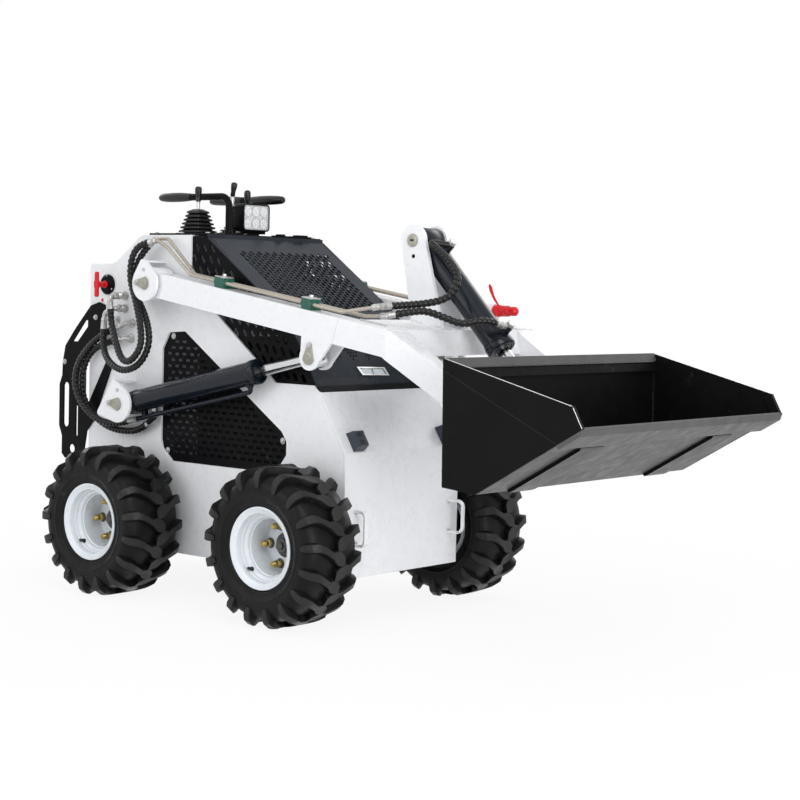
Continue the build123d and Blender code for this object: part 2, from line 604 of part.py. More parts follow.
elbow = tube([on_lift(*place, -BASE_PORT_Y) for place in BASE_PORT[:2]]
             + [on_lift(*BASE_PORT[2], -BASE_PORT_Y - 6)], FERRULE_RADIUS, 12)
bore = bar(on_lift(LIFT_BARREL_RADIUS + ROD_SPARE, 0), on_lift(LIFT_BARREL_LENGTH, 0),
           LIFT_ROD_RADIUS + PIN_PLAY)
lift_barrel = lift_barrel + feed_tube + feed_clip + elbow - bore
save("lift_barrel_right", lift_barrel)
save("lift_barrel_left", left(lift_barrel))
save("lift_rod_right", lift_rod)
save("lift_rod_left", left(lift_rod))

tilt_barrel, tilt_rod = cylinder(
    TOWER_PIN, TILT_ROD_PIN, 0, TILT_BARREL_LENGTH,
    (TILT_BARREL_RADIUS, TILT_GLAND_RADIUS, TILT_ROD_RADIUS),
    TILT_STROKE_IN, 2 * (TOWER_GAP_Y - SIDE_PLAY), TILT_EYE_WIDTH)
BANJO_OFFSET = 59.0         # middle of a hose fitting, from the tilt barrel's axis
BANJO_RADIUS = 14.0
BANJO_HALF_T = 11.0
BANJO_BOLT_RADIUS = 10.0
UPPER_PORT = 72.0
LOWER_PORT = 386.0
banjo_low, banjo_high = BANJO_OFFSET - BANJO_HALF_T, BANJO_OFFSET + BANJO_HALF_T
for distance in (UPPER_PORT, LOWER_PORT):
    for low, high, radius in ((TILT_BARREL_RADIUS - 6, banjo_low, PORT_RADIUS),
                              (banjo_low, banjo_high, BANJO_RADIUS),
                              (banjo_high, banjo_high + 8, BANJO_BOLT_RADIUS)):
        tilt_barrel += bar(on_tilt(distance, low), on_tilt(distance, high), radius)
upper_elbow = [on_tilt(UPPER_PORT, BANJO_OFFSET, -8), (604, -57, 1100), (630, -60, 1084)]
lower_hose_end = on_tilt(LOWER_PORT - 14, BANJO_OFFSET, -46)
tilt_barrel += tube(upper_elbow, FERRULE_RADIUS, 13)
tilt_barrel += bar(on_tilt(LOWER_PORT, BANJO_OFFSET), lower_hose_end, FERRULE_RADIUS)
save("tilt_barrel", tilt_barrel)
save("tilt_rod", tilt_rod)

# ---------------------------------------------------------------- pipes, couplers and hoses
PIPE_LIFT = 16.0            # a pipe's middle above the beam's top face
NEAR_PIPE_Y = ARM_INNER_Y + 48
FAR_PIPE_Y = ARM_INNER_Y + 22
PIPE_BEND = 25.0
PIPE_FERRULE = 26.0
CLAMP_SPANS = [(2.0, 39.0), (356.0, 391.0)]
CLAMP_HEIGHT = 30.0
CLAMP_MARGIN = 12.0         # from a pipe's middle to the clamp's side
CLAMP_PLATE_T = 3.0
CLAMP_BOLT_RADIUS = 7.0
COUPLER_Z = 906.0
COUPLER_X = 622.0           # where a pipe enters its coupler
COUPLER_PLATE = (640.0, 648.0)
COUPLER_RADIUS = 12.0
CAPPED_Y = 200.0
PLAIN_Y = 135.0
CAP_RADIUS = 16.5
CAP_END_X = 735.0
FITTING_RADIUS = 11.0
# Routes below give x, distance out from the side plate, and z.
FITTINGS = [
    ([(-466, 20, 921), (-466, 64, 921), (-462, 65, 880)], [16], 50),
    ([(-466, 16, 881), (-466, 44, 881), (-513.5, 44, 866), (-515, 46, 816)], [14, 18], 30),
    ([(-430, 10, 835), (-430, 28, 835), (-486, 24, 818)], [12], 16),
    ([(-434, 10, 787), (-434, 27, 787), (-488, 23, 778)], [12], 15)]
OUTER_ARM_HOSE = [
    (-462, 65, 880), (-458, 66, 839), (-404, 97, 790), (-349, 119, 729), (-306, 125, 718),
    (-270, 122, 745), (-265, 108, 784), (-303, 83, 842), (-345, 66, 912), (-378, 61, 975),
    (-373, 60, 1042), (-338, 58, 1082), (-297, 55, 1088)]
INNER_ARM_HOSE = [
    (-515, 46, 816), (-516.8, 48.4, 757), (-448, 82, 712), (-362, 100, 687), (-290, 98, 708),
    (-262, 86, 757), (-277, 66, 806), (-322, 46, 866), (-384, 38, 936), (-382, 37, 1000),
    (-356, 34, 1054), (-322, 31, 1080)]
ROD_SIDE_HOSE = [
    (-486, 24, 818), (-566, 18.3, 793.7), (-628, 44, 722), (-652, 50, 655), (-634, 51, 596),
    (-585, 48, 545), (-512, 45, 516)]
BASE_SIDE_HOSE = [
    (-488, 23, 778), (-560, 17.7, 766), (-622, 23, 722), (-646, 26, 650), (-632, 26, 580),
    (-577, 26, 530), (-505, 26, 500), (-430, 26, 494)]
UPPER_TILT_HOSE = [
    (650, -280, 916), (661.4, -231.4, 918.9), (686, -178, 924), (712, -130, 934),
    (727, -98, 955), (735, -80, 1003), (680.8, -65.9, 1052.7), (630, -60, 1084)]
LOWER_TILT_HOSE = [
    (656, -267, 893), (684.8, -233.4, 901), (706, -192, 906), (738, -152, 888),
    (786, -126, 868), (831.4, -89, 884.9)]


def beside_body(route):
    """Points of a route given as x, distance out from the right side plate, and z."""
    return [(x, -BODY_HALF_WIDTH - out, z) for x, out, z in route]


def hose(name, points):
    """Hose along straight runs, each bend as wide as the runs beside it allow."""
    runs = [Vector(*b) - Vector(*a) for a, b in zip(points, points[1:])]
    radii = []
    for run, following in zip(runs, runs[1:]):
        turn = math.radians(run.get_angle(following))
        radii.append(0.45 * min(run.length, following.length) / math.tan(turn / 2))
    solid = tube(points, HOSE_RADIUS, radii)
    length = solid.volume / (math.pi * HOSE_RADIUS ** 2)
    print(f"{name}: length {length:.0f}, runs {[round(run.length) for run in runs]}, "
          f"bend radii {[round(radius) for radius in radii]}")
    return solid


fittings = []
for route, bends, reach in FITTINGS:
    route = beside_body(route)
    place = (route[0][0], route[0][2])
    fitting = cross_pin(place, FITTING_RADIUS, -BODY_HALF_WIDTH - reach, -BODY_HALF_WIDTH)
    fittings.append(fitting + tube(route, FERRULE_RADIUS, bends))
save("bulkhead_fittings", both_sides(*fittings))


def pipe(points, ferrules):
    """Rigid pipe with a ferrule at each end that meets a hose."""
    solid = tube(points, PIPE_RADIUS, PIPE_BEND)
    for end, following in ferrules:
        line = Vector(*following) - Vector(*end)
        tip = Vector(*end) + line.normalized() * PIPE_FERRULE
        solid += bar(end, tuple(tip), FERRULE_RADIUS)
    return solid


def over_beam(x, y, lift=PIPE_LIFT):
    """Point above the beam's top face, on the right side."""
    return (x, -y, beam_z(x, TOP_OFFSET + lift))


near_start = beside_body([OUTER_ARM_HOSE[-1], (-261, 52.4, 1093.3), (-214, 54, 1072)])
far_start = beside_body([INNER_ARM_HOSE[-1], (-300, 28.8, 1099), (-240, 28, 1100)])
near_pipe = near_start + [over_beam(-112, NEAR_PIPE_Y)]
far_pipe = far_start + [over_beam(-118, FAR_PIPE_Y)]
near_end = [over_beam(505, NEAR_PIPE_Y), (642, -NEAR_PIPE_Y, 914), UPPER_TILT_HOSE[0]]
far_end = [over_beam(570, FAR_PIPE_Y), (638, -FAR_PIPE_Y, 888), LOWER_TILT_HOSE[0]]
near_turn = [over_beam(440, NEAR_PIPE_Y), (540, -ARM_INNER_Y - 24, 905),
             (595, -CAPPED_Y, COUPLER_Z), (COUPLER_X, -CAPPED_Y, COUPLER_Z)]
far_turn = [over_beam(420, FAR_PIPE_Y), (510, -ARM_INNER_Y + 4, 903),
            (575, -PLAIN_Y, COUPLER_Z), (COUPLER_X, -PLAIN_Y, COUPLER_Z)]
pipes = [
    pipe(near_pipe + near_end, [near_start[:2], near_end[:-3:-1]]),
    pipe(far_pipe + far_end, [far_start[:2], far_end[:-3:-1]]),
    left(pipe(near_pipe + near_turn, [near_start[:2]])),
    left(pipe(far_pipe + far_turn, [far_start[:2]]))]
save("arm_pipes", Part() + pipes)

clamp_y = (-NEAR_PIPE_Y - CLAMP_MARGIN, -FAR_PIPE_Y + CLAMP_MARGIN)
clamps = []
for start, end in CLAMP_SPANS:
    clamp_outline = polygon([on_beam(start), on_beam(end), on_beam(end, CLAMP_HEIGHT),
                             on_beam(start, CLAMP_HEIGHT)])
    plate_top = CLAMP_HEIGHT + CLAMP_PLATE_T
    plate_outline = polygon([on_beam(start, CLAMP_HEIGHT), on_beam(end, CLAMP_HEIGHT),
                             on_beam(end, plate_top), on_beam(start, plate_top)])
    clamp = across(clamp_outline, *clamp_y)
    clamp += across(plate_outline, clamp_y[0] + 3, clamp_y[1] - 3)
    middle = (start + end) / 2
    middle_y = (NEAR_PIPE_Y + FAR_PIPE_Y) / 2
    clamp += bar(over_beam(middle, middle_y, plate_top), over_beam(middle, middle_y, plate_top + 6),
                 CLAMP_BOLT_RADIUS)
    for y in (NEAR_PIPE_Y, FAR_PIPE_Y):
        clamp -= bar(over_beam(start - 20, y), over_beam(end + 20, y), PIPE_RADIUS + SEAT_GAP)
    clamps.append(clamp)
save("pipe_clamps", both_sides(*clamps))

coupler_foot = [on_beam(x) for x in COUPLER_PLATE]
coupler = across(polygon([*coupler_foot, (COUPLER_PLATE[1], COUPLER_Z + 20),
                          (COUPLER_PLATE[0], COUPLER_Z + 20)]), PLAIN_Y - 26, CAPPED_Y + 26)
for y in (PLAIN_Y, CAPPED_Y):
    coupler += bar((COUPLER_X, y, COUPLER_Z), (COUPLER_PLATE[1] + 26, y, COUPLER_Z), COUPLER_RADIUS)
coupler += bar((COUPLER_PLATE[1], CAPPED_Y, COUPLER_Z), (CAP_END_X, CAPPED_Y, COUPLER_Z), CAP_RADIUS)
save("aux_coupler", coupler)

arm_hoses = Part() + [hose("outer arm hose", beside_body(OUTER_ARM_HOSE)),
                      hose("inner arm hose", beside_body(INNER_ARM_HOSE))]
arm_hoses = arm_hoses - fittings - pipes[:2]
save("arm_hoses_right", arm_hoses)
save("arm_hoses_left", left(arm_hoses))
PORT_LEAD = (-37.2, -14.7)  # from the base port's elbow to the hose point before it
port_lead = (BASE_PORT[0][0] + PORT_LEAD[0], BASE_PORT[0][1] + PORT_LEAD[1])
rod_side = beside_body(ROD_SIDE_HOSE) + [on_lift(FEED_FERRULE - 50, FEED_OFFSET),
                                         on_lift(FEED_FERRULE, FEED_OFFSET)]
base_side = beside_body(BASE_SIDE_HOSE) + [on_lift(*port_lead, -BASE_PORT_Y),
                                           on_lift(*BASE_PORT[0], -BASE_PORT_Y)]
cylinder_hoses = Part() + [hose("rod side cylinder hose", rod_side),
                           hose("base side cylinder hose", base_side)]
cylinder_hoses = cylinder_hoses - fittings - lift_barrel
save("cylinder_hoses_right", cylinder_hoses)
save("cylinder_hoses_left", left(cylinder_hoses))
lower_route = LOWER_TILT_HOSE + [lower_hose_end]
tilt_hoses = Part() + [hose("upper tilt hose", UPPER_TILT_HOSE),
                       hose("lower tilt hose", lower_route)]
save("tilt_hoses", tilt_hoses - pipes[:2] - tilt_barrel)

# ---------------------------------------------------------------- attachment plate and bucket
ATTACH_PLATE_T = 10.0
ATTACH_HALF_WIDTH = 430.0
ATTACH_SPAN = (486.0, 742.0)
LUG_T = 12.0
LUG_ROOT_T = 26.0           # how far a lug's root reaches back from the bucket
PIN_HEAD_T = 6.0


def on_back(distance, height):
    """Point behind the bucket's back plane, at a height."""
    lean = (BUCKET_BACK_BOTTOM[0] - BUCKET_BACK_TOP[0]) / (BUCKET_BACK_TOP[1] - BUCKET_BACK_BOTTOM[1])
    return (BUCKET_BACK_TOP[0] + lean * (BUCKET_BACK_TOP[1] - height) - distance, height)


def lug(pin_place, radius, tip_heights, root_heights, y_inner):
    """Lug plate from a pin to the attachment plate, on the right side."""
    outline = hull((pin_place, radius), *[(on_back(24, z), 10) for z in tip_heights])
    outline -= disc(pin_place, PIN_RADIUS)
    root = polygon([on_back(ATTACH_PLATE_T, root_heights[0]), on_back(ATTACH_PLATE_T, root_heights[1]),
                    on_back(LUG_ROOT_T, root_heights[1]), on_back(LUG_ROOT_T, root_heights[0])])
    return across(outline, -y_inner - LUG_T, -y_inner) + across(root, -y_inner - LUG_T, -y_inner)


attach_outline = polygon([on_back(0, ATTACH_SPAN[0]), on_back(0, ATTACH_SPAN[1]),
                          on_back(ATTACH_PLATE_T, ATTACH_SPAN[1]),
                          on_back(ATTACH_PLATE_T, ATTACH_SPAN[0])])
attach = across(attach_outline, -ATTACH_HALF_WIDTH, ATTACH_HALF_WIDTH)
tilt_lug_y = TILT_EYE_WIDTH / 2 + SIDE_PLAY
inner_lug_y = LEG_INNER_Y - SIDE_PLAY - LUG_T
outer_lug_y = LEG_OUTER_Y + SIDE_PLAY
attach += both_sides(lug(ATTACH_PIN, 34, (640, 500), (496, 645), inner_lug_y),
                     lug(ATTACH_PIN, 34, (640, 500), (496, 645), outer_lug_y),
                     lug(TILT_ROD_PIN, 30, (725, 600), (595, 735), tilt_lug_y))
save("attach_plate", attach)
attach_pin = cross_pin(ATTACH_PIN, PIN_RADIUS, -outer_lug_y - LUG_T - PIN_HEAD_T, -inner_lug_y)
tilt_pin_end = tilt_lug_y + LUG_T + PIN_HEAD_T
tilt_stub = cross_pin(TILT_ROD_PIN, PIN_RADIUS, -tilt_pin_end, -tilt_lug_y)
save("attach_pins", both_sides(attach_pin, tilt_stub))

LIP_OUTLINE = [on_back(0, 780), on_back(35, 742), on_back(29, 742), on_back(0, 772)]
bucket_outline = polygon([BUCKET_BACK_TOP, BUCKET_FRONT_TOP, BUCKET_TIP, BUCKET_HEEL,
                          BUCKET_BACK_BOTTOM])
bucket_inner_y = BUCKET_HALF_WIDTH - BUCKET_SIDE
bucket = both_sides(across(bucket_outline, -BUCKET_HALF_WIDTH, -bucket_inner_y))
shell_line = [BUCKET_TIP, BUCKET_HEEL, BUCKET_BACK_BOTTOM, BUCKET_BACK_TOP]
bucket += across(band(shell_line, BUCKET_SHEET), -bucket_inner_y, bucket_inner_y)
bucket += across(polygon(LIP_OUTLINE), -bucket_inner_y, bucket_inner_y)
save("bucket", bucket)

EDGE_LENGTH = 85.0
EDGE_T = 12.0
EDGE_BEVEL = 14.0
SKID_Y = (270.0, 330.0)
SKID_T = 10.0
floor_length = math.dist(BUCKET_TIP, BUCKET_HEEL)


def below_floor(distance, depth):
    """Point under the bucket's floor, measured back from the tip."""
    return beside(BUCKET_TIP, BUCKET_HEEL, distance, depth)


edge_outline = polygon([below_floor(0, 0), below_floor(EDGE_LENGTH, 0),
                        below_floor(EDGE_LENGTH, EDGE_T), below_floor(EDGE_BEVEL, EDGE_T)])
save("cutting_edge", across(edge_outline, -BUCKET_HALF_WIDTH, BUCKET_HALF_WIDTH))
skid_start, skid_end = EDGE_LENGTH + 4, floor_length - 8
skid_outline = polygon([below_floor(skid_start, 0), below_floor(skid_end, 0),
                        below_floor(skid_end, SKID_T), below_floor(skid_start, SKID_T)])
save("skid_strips", both_sides(across(skid_outline, -SKID_Y[1], -SKID_Y[0])))

# ---------------------------------------------------------------- rear step and guards
GUARD_T = 6.0
GUARD_HOLE = (-713.0, 417.0)
GUARD_HOLE_RADIUS = 14.0
GUARD_OUTLINE = [
    (-560, 890), (-588, 898), (-628, 886), (-706, 806), (-752, 752), (-764, 700), (-766, 655),
    (-779, 625), (-779, 490), (-764, 456), (-764, 398), (-748, 384), (-660, 384), (-648, 440),
    (-640, 480), (-604, 520), (-520, 700), (-545, 716), (-640, 560), (-650, 600), (-650, 740),
    (-585, 800), (-553, 835)]
GUARD_SLOT = [(-652, 838), (-640, 838), (-640, 818), (-690, 768), (-714, 768)]
guard_cutout = hull(((-744, 620), 13), ((-744, 500), 13))
guard_cutout += hull(((-690, 555), 5), ((-690, 464), 5)) + polygon(GUARD_SLOT)
guard_cutout += disc(GUARD_HOLE, GUARD_HOLE_RADIUS)
guard = across(polygon(GUARD_OUTLINE), -BODY_HALF_WIDTH - GUARD_T, -BODY_HALF_WIDTH)
guard -= across(guard_cutout, -BODY_HALF_WIDTH - GUARD_T - 1, -BODY_HALF_WIDTH + 1)
save("rear_guards", both_sides(guard))

STEP_HALF_WIDTH = BODY_HALF_WIDTH - 20
STEP_PIN_RADIUS = 8.0
STEP_FLANGE_RISE = 34.0
STEP_LUG_T = 10.0
step = box((STEP_REAR_X, -STEP_HALF_WIDTH, STEP_Z),
           (STEP_HINGE[0] - 20, STEP_HALF_WIDTH, STEP_Z + STEP_SHEET))
flange_outline = polygon([
    (STEP_REAR_X, STEP_Z - 2), (STEP_REAR_X, STEP_Z + 16),
    (STEP_REAR_X + STEP_FLANGE_RISE, STEP_Z + STEP_FLANGE_RISE),
    (STEP_HINGE[0] + 12, STEP_Z + STEP_FLANGE_RISE), (STEP_HINGE[0] + 12, STEP_Z - 2)])
flange_outline -= disc(STEP_HINGE, STEP_PIN_RADIUS + PIN_PLAY)
step += both_sides(across(flange_outline, -STEP_HALF_WIDTH - STEP_SHEET, -STEP_HALF_WIDTH))
save("rear_step", step)
lug_outer_y = STEP_HALF_WIDTH - SIDE_PLAY
lug_outline = hull((STEP_HINGE, 12), ((REAR_X - 8, STEP_HINGE[1] + 22), 8),
                   ((REAR_X - 8, STEP_HINGE[1] - 22), 8))
step_lug = across(lug_outline, -lug_outer_y, -lug_outer_y + STEP_LUG_T)
step_lug += cross_pin(STEP_HINGE, STEP_PIN_RADIUS, -STEP_HALF_WIDTH - 10, -lug_outer_y + STEP_LUG_T)
save("step_lugs", both_sides(step_lug))

# ---------------------------------------------------------------- small fittings on the body
HANDLE_Y = 213.0
HANDLE_LEAN = 11.0
HANDLE_REACH = 50.0
HANDLE_SPAN = (228.0, 325.0)
HANDLE_BEND = 18.0
HANDLE_SECTION = (14.0, 8.0)
outer_y = -HANDLE_Y - HANDLE_LEAN
handle_line = FilletPolyline(
    (FRONT_X, -HANDLE_Y, HANDLE_SPAN[0]), (FRONT_X + HANDLE_REACH, outer_y, HANDLE_SPAN[0]),
    (FRONT_X + HANDLE_REACH, outer_y, HANDLE_SPAN[1]), (FRONT_X, -HANDLE_Y, HANDLE_SPAN[1]),
    radius=HANDLE_BEND)
handle_start = Plane(origin=handle_line @ 0, x_dir=(0, 1, 0), z_dir=handle_line % 0)
handle = sweep(handle_start * Rectangle(*HANDLE_SECTION), path=handle_line)
save("grab_handles", both_sides(handle - nose))

STOP_SPAN = (4.0, 64.0)     # along the nose plate's slope, up from the fold
STOP_Y = (180.0, 225.0)
STOP_RISE = 28.0
stop_outline = polygon([beside(NOSE_FOLD, NOSE_LIP, distance, -rise) for distance, rise in (
    (STOP_SPAN[0], 0), (STOP_SPAN[1], 0), (STOP_SPAN[1] - 6, STOP_RISE),
    (STOP_SPAN[0] + 6, STOP_RISE))])
save("stop_blocks", both_sides(across(stop_outline, -STOP_Y[1], -STOP_Y[0])))

SWITCH_PLACE = (-549.0, 955.0)
SWITCH_RADIUS = 32.0
SWITCH_STEM_RADIUS = 9.0
SWITCH_STEPS = (14.0, 40.0, 56.0)
SWITCH_HANDLE = (12.0, 98.0)
switch_y = [-BODY_HALF_WIDTH - step_out for step_out in SWITCH_STEPS]
switch = cross_pin(SWITCH_PLACE, SWITCH_RADIUS, switch_y[0], -BODY_HALF_WIDTH)
switch += cross_pin(SWITCH_PLACE, SWITCH_STEM_RADIUS, switch_y[1], switch_y[0])
half_wide, half_tall = SWITCH_HANDLE[0] / 2, SWITCH_HANDLE[1] / 2
switch += box((SWITCH_PLACE[0] - half_wide, switch_y[2], SWITCH_PLACE[1] - half_tall),
              (SWITCH_PLACE[0] + half_wide, switch_y[1], SWITCH_PLACE[1] + half_tall))
save("battery_switch", switch)
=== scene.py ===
"""Looks of a compact stand-on skid steer loader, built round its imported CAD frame.

Sizes and places are in the machine's own millimetres: +X forward, +Y to the left, +Z up, x = 0
midway between the axles and z = 0 on the ground. at() turns them into the frame's metres.
"""

import json
import math

import bmesh
import bpy
from mathutils import Matrix, Vector
from mathutils.geometry import delaunay_2d_cdt

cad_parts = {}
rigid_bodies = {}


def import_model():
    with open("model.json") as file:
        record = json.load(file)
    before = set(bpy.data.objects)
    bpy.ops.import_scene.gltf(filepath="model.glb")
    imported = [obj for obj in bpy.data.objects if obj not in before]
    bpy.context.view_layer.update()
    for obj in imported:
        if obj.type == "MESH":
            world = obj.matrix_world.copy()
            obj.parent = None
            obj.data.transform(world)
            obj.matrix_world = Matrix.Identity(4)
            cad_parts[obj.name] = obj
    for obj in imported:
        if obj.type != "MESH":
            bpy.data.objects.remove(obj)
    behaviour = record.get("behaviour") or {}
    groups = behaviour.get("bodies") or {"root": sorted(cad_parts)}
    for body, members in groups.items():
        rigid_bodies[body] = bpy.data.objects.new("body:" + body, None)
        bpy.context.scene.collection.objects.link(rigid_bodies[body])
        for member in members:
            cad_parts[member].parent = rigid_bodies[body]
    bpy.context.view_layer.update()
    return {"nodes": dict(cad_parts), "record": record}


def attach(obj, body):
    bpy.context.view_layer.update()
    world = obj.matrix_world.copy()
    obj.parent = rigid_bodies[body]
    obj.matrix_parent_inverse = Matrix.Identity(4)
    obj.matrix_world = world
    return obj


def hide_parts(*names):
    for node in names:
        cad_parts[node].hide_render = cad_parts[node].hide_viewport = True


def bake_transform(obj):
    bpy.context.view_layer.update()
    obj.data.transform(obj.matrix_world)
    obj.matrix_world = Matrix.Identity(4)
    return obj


for startup_object in list(bpy.data.objects):
    bpy.data.objects.remove(startup_object)
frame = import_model()

# ---- sizes shared with the CAD model
ORIGIN_X = 283.0
BODY_Y = 260.0              # outer face of a side plate
INNER_Y = BODY_Y - 8        # its inner face
AXLES = {"front": 365.0, "rear": -365.0}
WHEEL_Y = 392.0
TYRE_RADIUS = 230.0
BEAM_SLOPE = math.radians(8.8)
BEAM_HALF = 38.0            # half the depth of the lift arm's beam
PIVOT = (-277.0, 962.0)
CYLINDER_REAR = (-395.0, 585.0)
CYLINDER_FRONT = (399.0, 764.0)
CYLINDER_Y = 304.0
TOWER_PIN = (542.0, 1105.0)
TILT_ROD_PIN = (910.0, 716.0)
PIN_RADIUS = 15.0
ARM_INNER_Y, ARM_OUTER_Y = 266.0, 334.0
BRACKET_Y = 352.0           # outer face of the brackets that carry the fixed pins
DECK_TOP = 1119.0
HOOD_LINE = [(-98.0, 1107.0), (225.0, 880.0), (300.0, 790.0), (352.0, 700.0), (377.0, 662.0)]
NOSE_FOLD, NOSE_LIP = (482.0, 492.0), (377.0, 662.0)
STOP_RISE = 28.0
SIDES = {"right": -1, "left": 1}
X, Y, Z = Vector((1, 0, 0)), Vector((0, 1, 0)), Vector((0, 0, 1))


def at(x, y, z):
    """Point of the frame, in metres, from the machine's millimetres."""
    return Vector(((x - ORIGIN_X) / 1000, y / 1000, z / 1000))


def on_line(start, end, distance, offset=0.0):
    """(x, z) at a distance from start towards end, moved by offset to the left of that line."""
    length = math.dist(start, end)
    dx, dz = (end[0] - start[0]) / length, (end[1] - start[1]) / length
    return start[0] + dx * distance - dz * offset, start[1] + dz * distance + dx * offset


def over_beam(x, lift=0.0):
    """(x, z) a distance above the lift arm's top face."""
    drop = math.tan(BEAM_SLOPE) * (x - PIVOT[0])
    return x, PIVOT[1] - drop + (BEAM_HALF + lift) / math.cos(BEAM_SLOPE)


# ---- materials
class Nodes:
    """Node tree of a material or world, filled by keywords: _ stands for a space in a name."""

    def __init__(self, owner):
        owner.use_nodes = True
        self.nodes, self.links = owner.node_tree.nodes, owner.node_tree.links

    def fill(self, node, **inputs):
        """Give inputs of a node their values, or link them to other nodes' outputs."""
        for name, value in inputs.items():
            socket = node.inputs[name.replace("_", " ")]
            if isinstance(value, bpy.types.NodeSocket):
                self.links.new(value, socket)
            else:
                socket.default_value = value
        return node

    def new(self, kind, *sources, operation=None, **inputs):
        """New node, with sources linked to its first inputs in order."""
        node = self.nodes.new("ShaderNode" + kind)
        if operation:
            node.operation = operation
        for source, socket in zip(sources, node.inputs):
            self.links.new(source, socket)
        return self.fill(node, **inputs)

    def shows_background(self):
        """1 for rays that show the background: seen straight, mirrored or through glass."""
        rays = self.new("LightPath").outputs
        total = rays["Is Camera Ray"]
        for name in ("Is Glossy Ray", "Is Transmission Ray"):
            total = self.new("Math", total, rays[name], operation="MAXIMUM").outputs["Value"]
        return total


def material(name, color, roughness, metallic, coat, specular, drift, rough_drift, grain,
             grain_scale, stain=None, stain_share=0.0, stain_scale=1.0):
    """Procedural finish: broad drift of color, stains, a fine grain in the bump, uneven gloss."""
    made = bpy.data.materials.new(name)
    tree = Nodes(made)
    place = tree.new("TexCoord").outputs["Object"]
    mapped = tree.new("Mapping", Vector=place).outputs["Vector"]

    def noise(scale, detail):
        return tree.new("TexNoise", Vector=mapped, Scale=scale, Detail=detail,
                        Roughness=0.62).outputs["Fac"]

    def ramp(source, *stops):
        node = tree.new("ValToRGB", source)
        for element, (position, shade) in zip(node.color_ramp.elements, stops):
            element.position, element.color = position, (*shade, 1)
        return node.outputs["Color"]

    dark, light = ([min(channel * (1 + change), 1.0) for channel in color]
                   for change in (-drift, drift))
    base = ramp(noise(5.5, 4.0), (0.3, dark), (0.7, light))
    if stain:
        share = ramp(noise(stain_scale, 9.0), (0.62 - stain_share / 2, (0, 0, 0)),
                     (0.74, (1, 1, 1)))
        mix = tree.new("Mix")
        mix.data_type = "RGBA"
        base = tree.fill(mix, Factor=share, A=base, B=(*stain, 1)).outputs["Result"]
    gloss = tree.new("MapRange", noise(23.0, 6.0), From_Min=0.3, From_Max=0.7,
                     To_Min=max(roughness - rough_drift, 0.03),
                     To_Max=min(roughness + rough_drift, 1.0)).outputs["Result"]
    bump = tree.new("Bump", Strength=grain, Distance=0.0006, Height=noise(grain_scale, 3.0))
    tree.fill(tree.nodes["Principled BSDF"], Base_Color=base, Roughness=gloss, Metallic=metallic,
              Coat_Weight=coat, Coat_Roughness=0.12, Specular_IOR_Level=specular,
              Normal=bump.outputs["Normal"])
    return made


# Color, roughness, metallic, coat, specular, how far color and roughness drift, grain, its scale.
FINISHES = {
    "white_paint": ((0.84, 0.85, 0.87), 0.3, 0, 0.3, 0.5, 0.01, 0.12, 0.06, 260),
    "wheel_white": ((0.72, 0.76, 0.8), 0.26, 0, 0.4, 0.5, 0.02, 0.12, 0.08, 320),
    "tyre": ((0.006, 0.006, 0.0065), 0.44, 0, 0, 0.15, 0.3, 0.18, 0.5, 420),
    # Lug tops: some dust and a painted highlight, lighter than the tyre's sides.
    "dusty_tread": ((0.016, 0.0155, 0.015), 0.45, 0, 0, 0.25, 0.35, 0.18, 0.5, 420),
    "dark_steel": ((0.09, 0.088, 0.085), 0.42, 0.6, 0, 0.5, 0.3, 0.12, 0.4, 320),
    "cast_iron": ((0.02, 0.021, 0.022), 0.6, 0.2, 0, 0.25, 0.2, 0.12, 0.9, 180),
    "hood_paint": ((0.03, 0.035, 0.044), 0.24, 0, 0, 0.06, 0.15, 0.07, 0.05, 320),
    "black_paint": ((0.005, 0.005, 0.006), 0.36, 0, 0, 0.06, 0.25, 0.12, 0.2, 300),
    "black_rubber": ((0.008, 0.008, 0.009), 0.34, 0, 0, 0.34, 0.2, 0.12, 0.2, 500),
    "lamp": ((0.95, 0.96, 0.97), 0.05, 0, 0, 0.5, 0.03, 0.12, 0.25, 90),
    "reflector": ((0.86, 0.87, 0.88), 0.12, 1, 0, 0.5, 0.05, 0.12, 0.2, 110),
    "zinc": ((0.34, 0.33, 0.28), 0.4, 0.6, 0, 0.5, 0.16, 0.12, 0.3, 320),
    "gold_zinc": ((0.46, 0.34, 0.12), 0.3, 0.95, 0, 0.5, 0.2, 0.12, 0.3, 320),
    "slate_paint": ((0.006, 0.009, 0.015), 0.22, 0, 0.1, 0.22, 0.2, 0.12, 0.1, 320),
    # The stop blocks' paint is the slate paint made lighter: painted light where they face up.
    "lit_slate_paint": ((0.05, 0.06, 0.076), 0.32, 0, 0, 0.2, 0.12, 0.12, 0.1, 320),
    "chrome": ((0.64, 0.65, 0.66), 0.1, 1, 0, 0.5, 0.05, 0.04, 0.12, 60),
    "bucket_black": ((0.004, 0.004, 0.0045), 0.44, 0, 0, 0.08, 0.25, 0.12, 0.3, 240),
    "worn_steel": ((0.088, 0.086, 0.088), 0.48, 0.3, 0, 0.3, 0.1, 0.12, 0.2, 320),
    # Pale steel; on the bucket's edges it is also a painted highlight.
    "bare_edge": ((0.78, 0.79, 0.8), 0.36, 0.3, 0, 0.5, 0.12, 0.12, 0.3, 320),
    "red_plastic": ((0.66, 0.01, 0.016), 0.34, 0, 0, 0.35, 0.07, 0.12, 0.06, 320),
    "plated_steel": ((0.5, 0.5, 0.49), 0.36, 0.75, 0, 0.5, 0.14, 0.12, 0.25, 320),
    "pipe_steel": ((0.42, 0.375, 0.32), 0.3, 0.55, 0, 0.5, 0.05, 0.12, 0.02, 320),
    "green_plastic": ((0.006, 0.085, 0.058), 0.4, 0, 0, 0.5, 0.2, 0.12, 0.35, 200),
    "hose": ((0.008, 0.008, 0.0085), 0.27, 0, 0, 0.3, 0.25, 0.12, 0.3, 320),
    "weld": ((0.72, 0.73, 0.75), 0.34, 0, 0.3, 0.5, 0.06, 0.12, 0.9, 130),
    "burnt_weld": ((0.006, 0.006, 0.007), 0.24, 0, 0, 0.6, 0.3, 0.12, 0.9, 120),
}
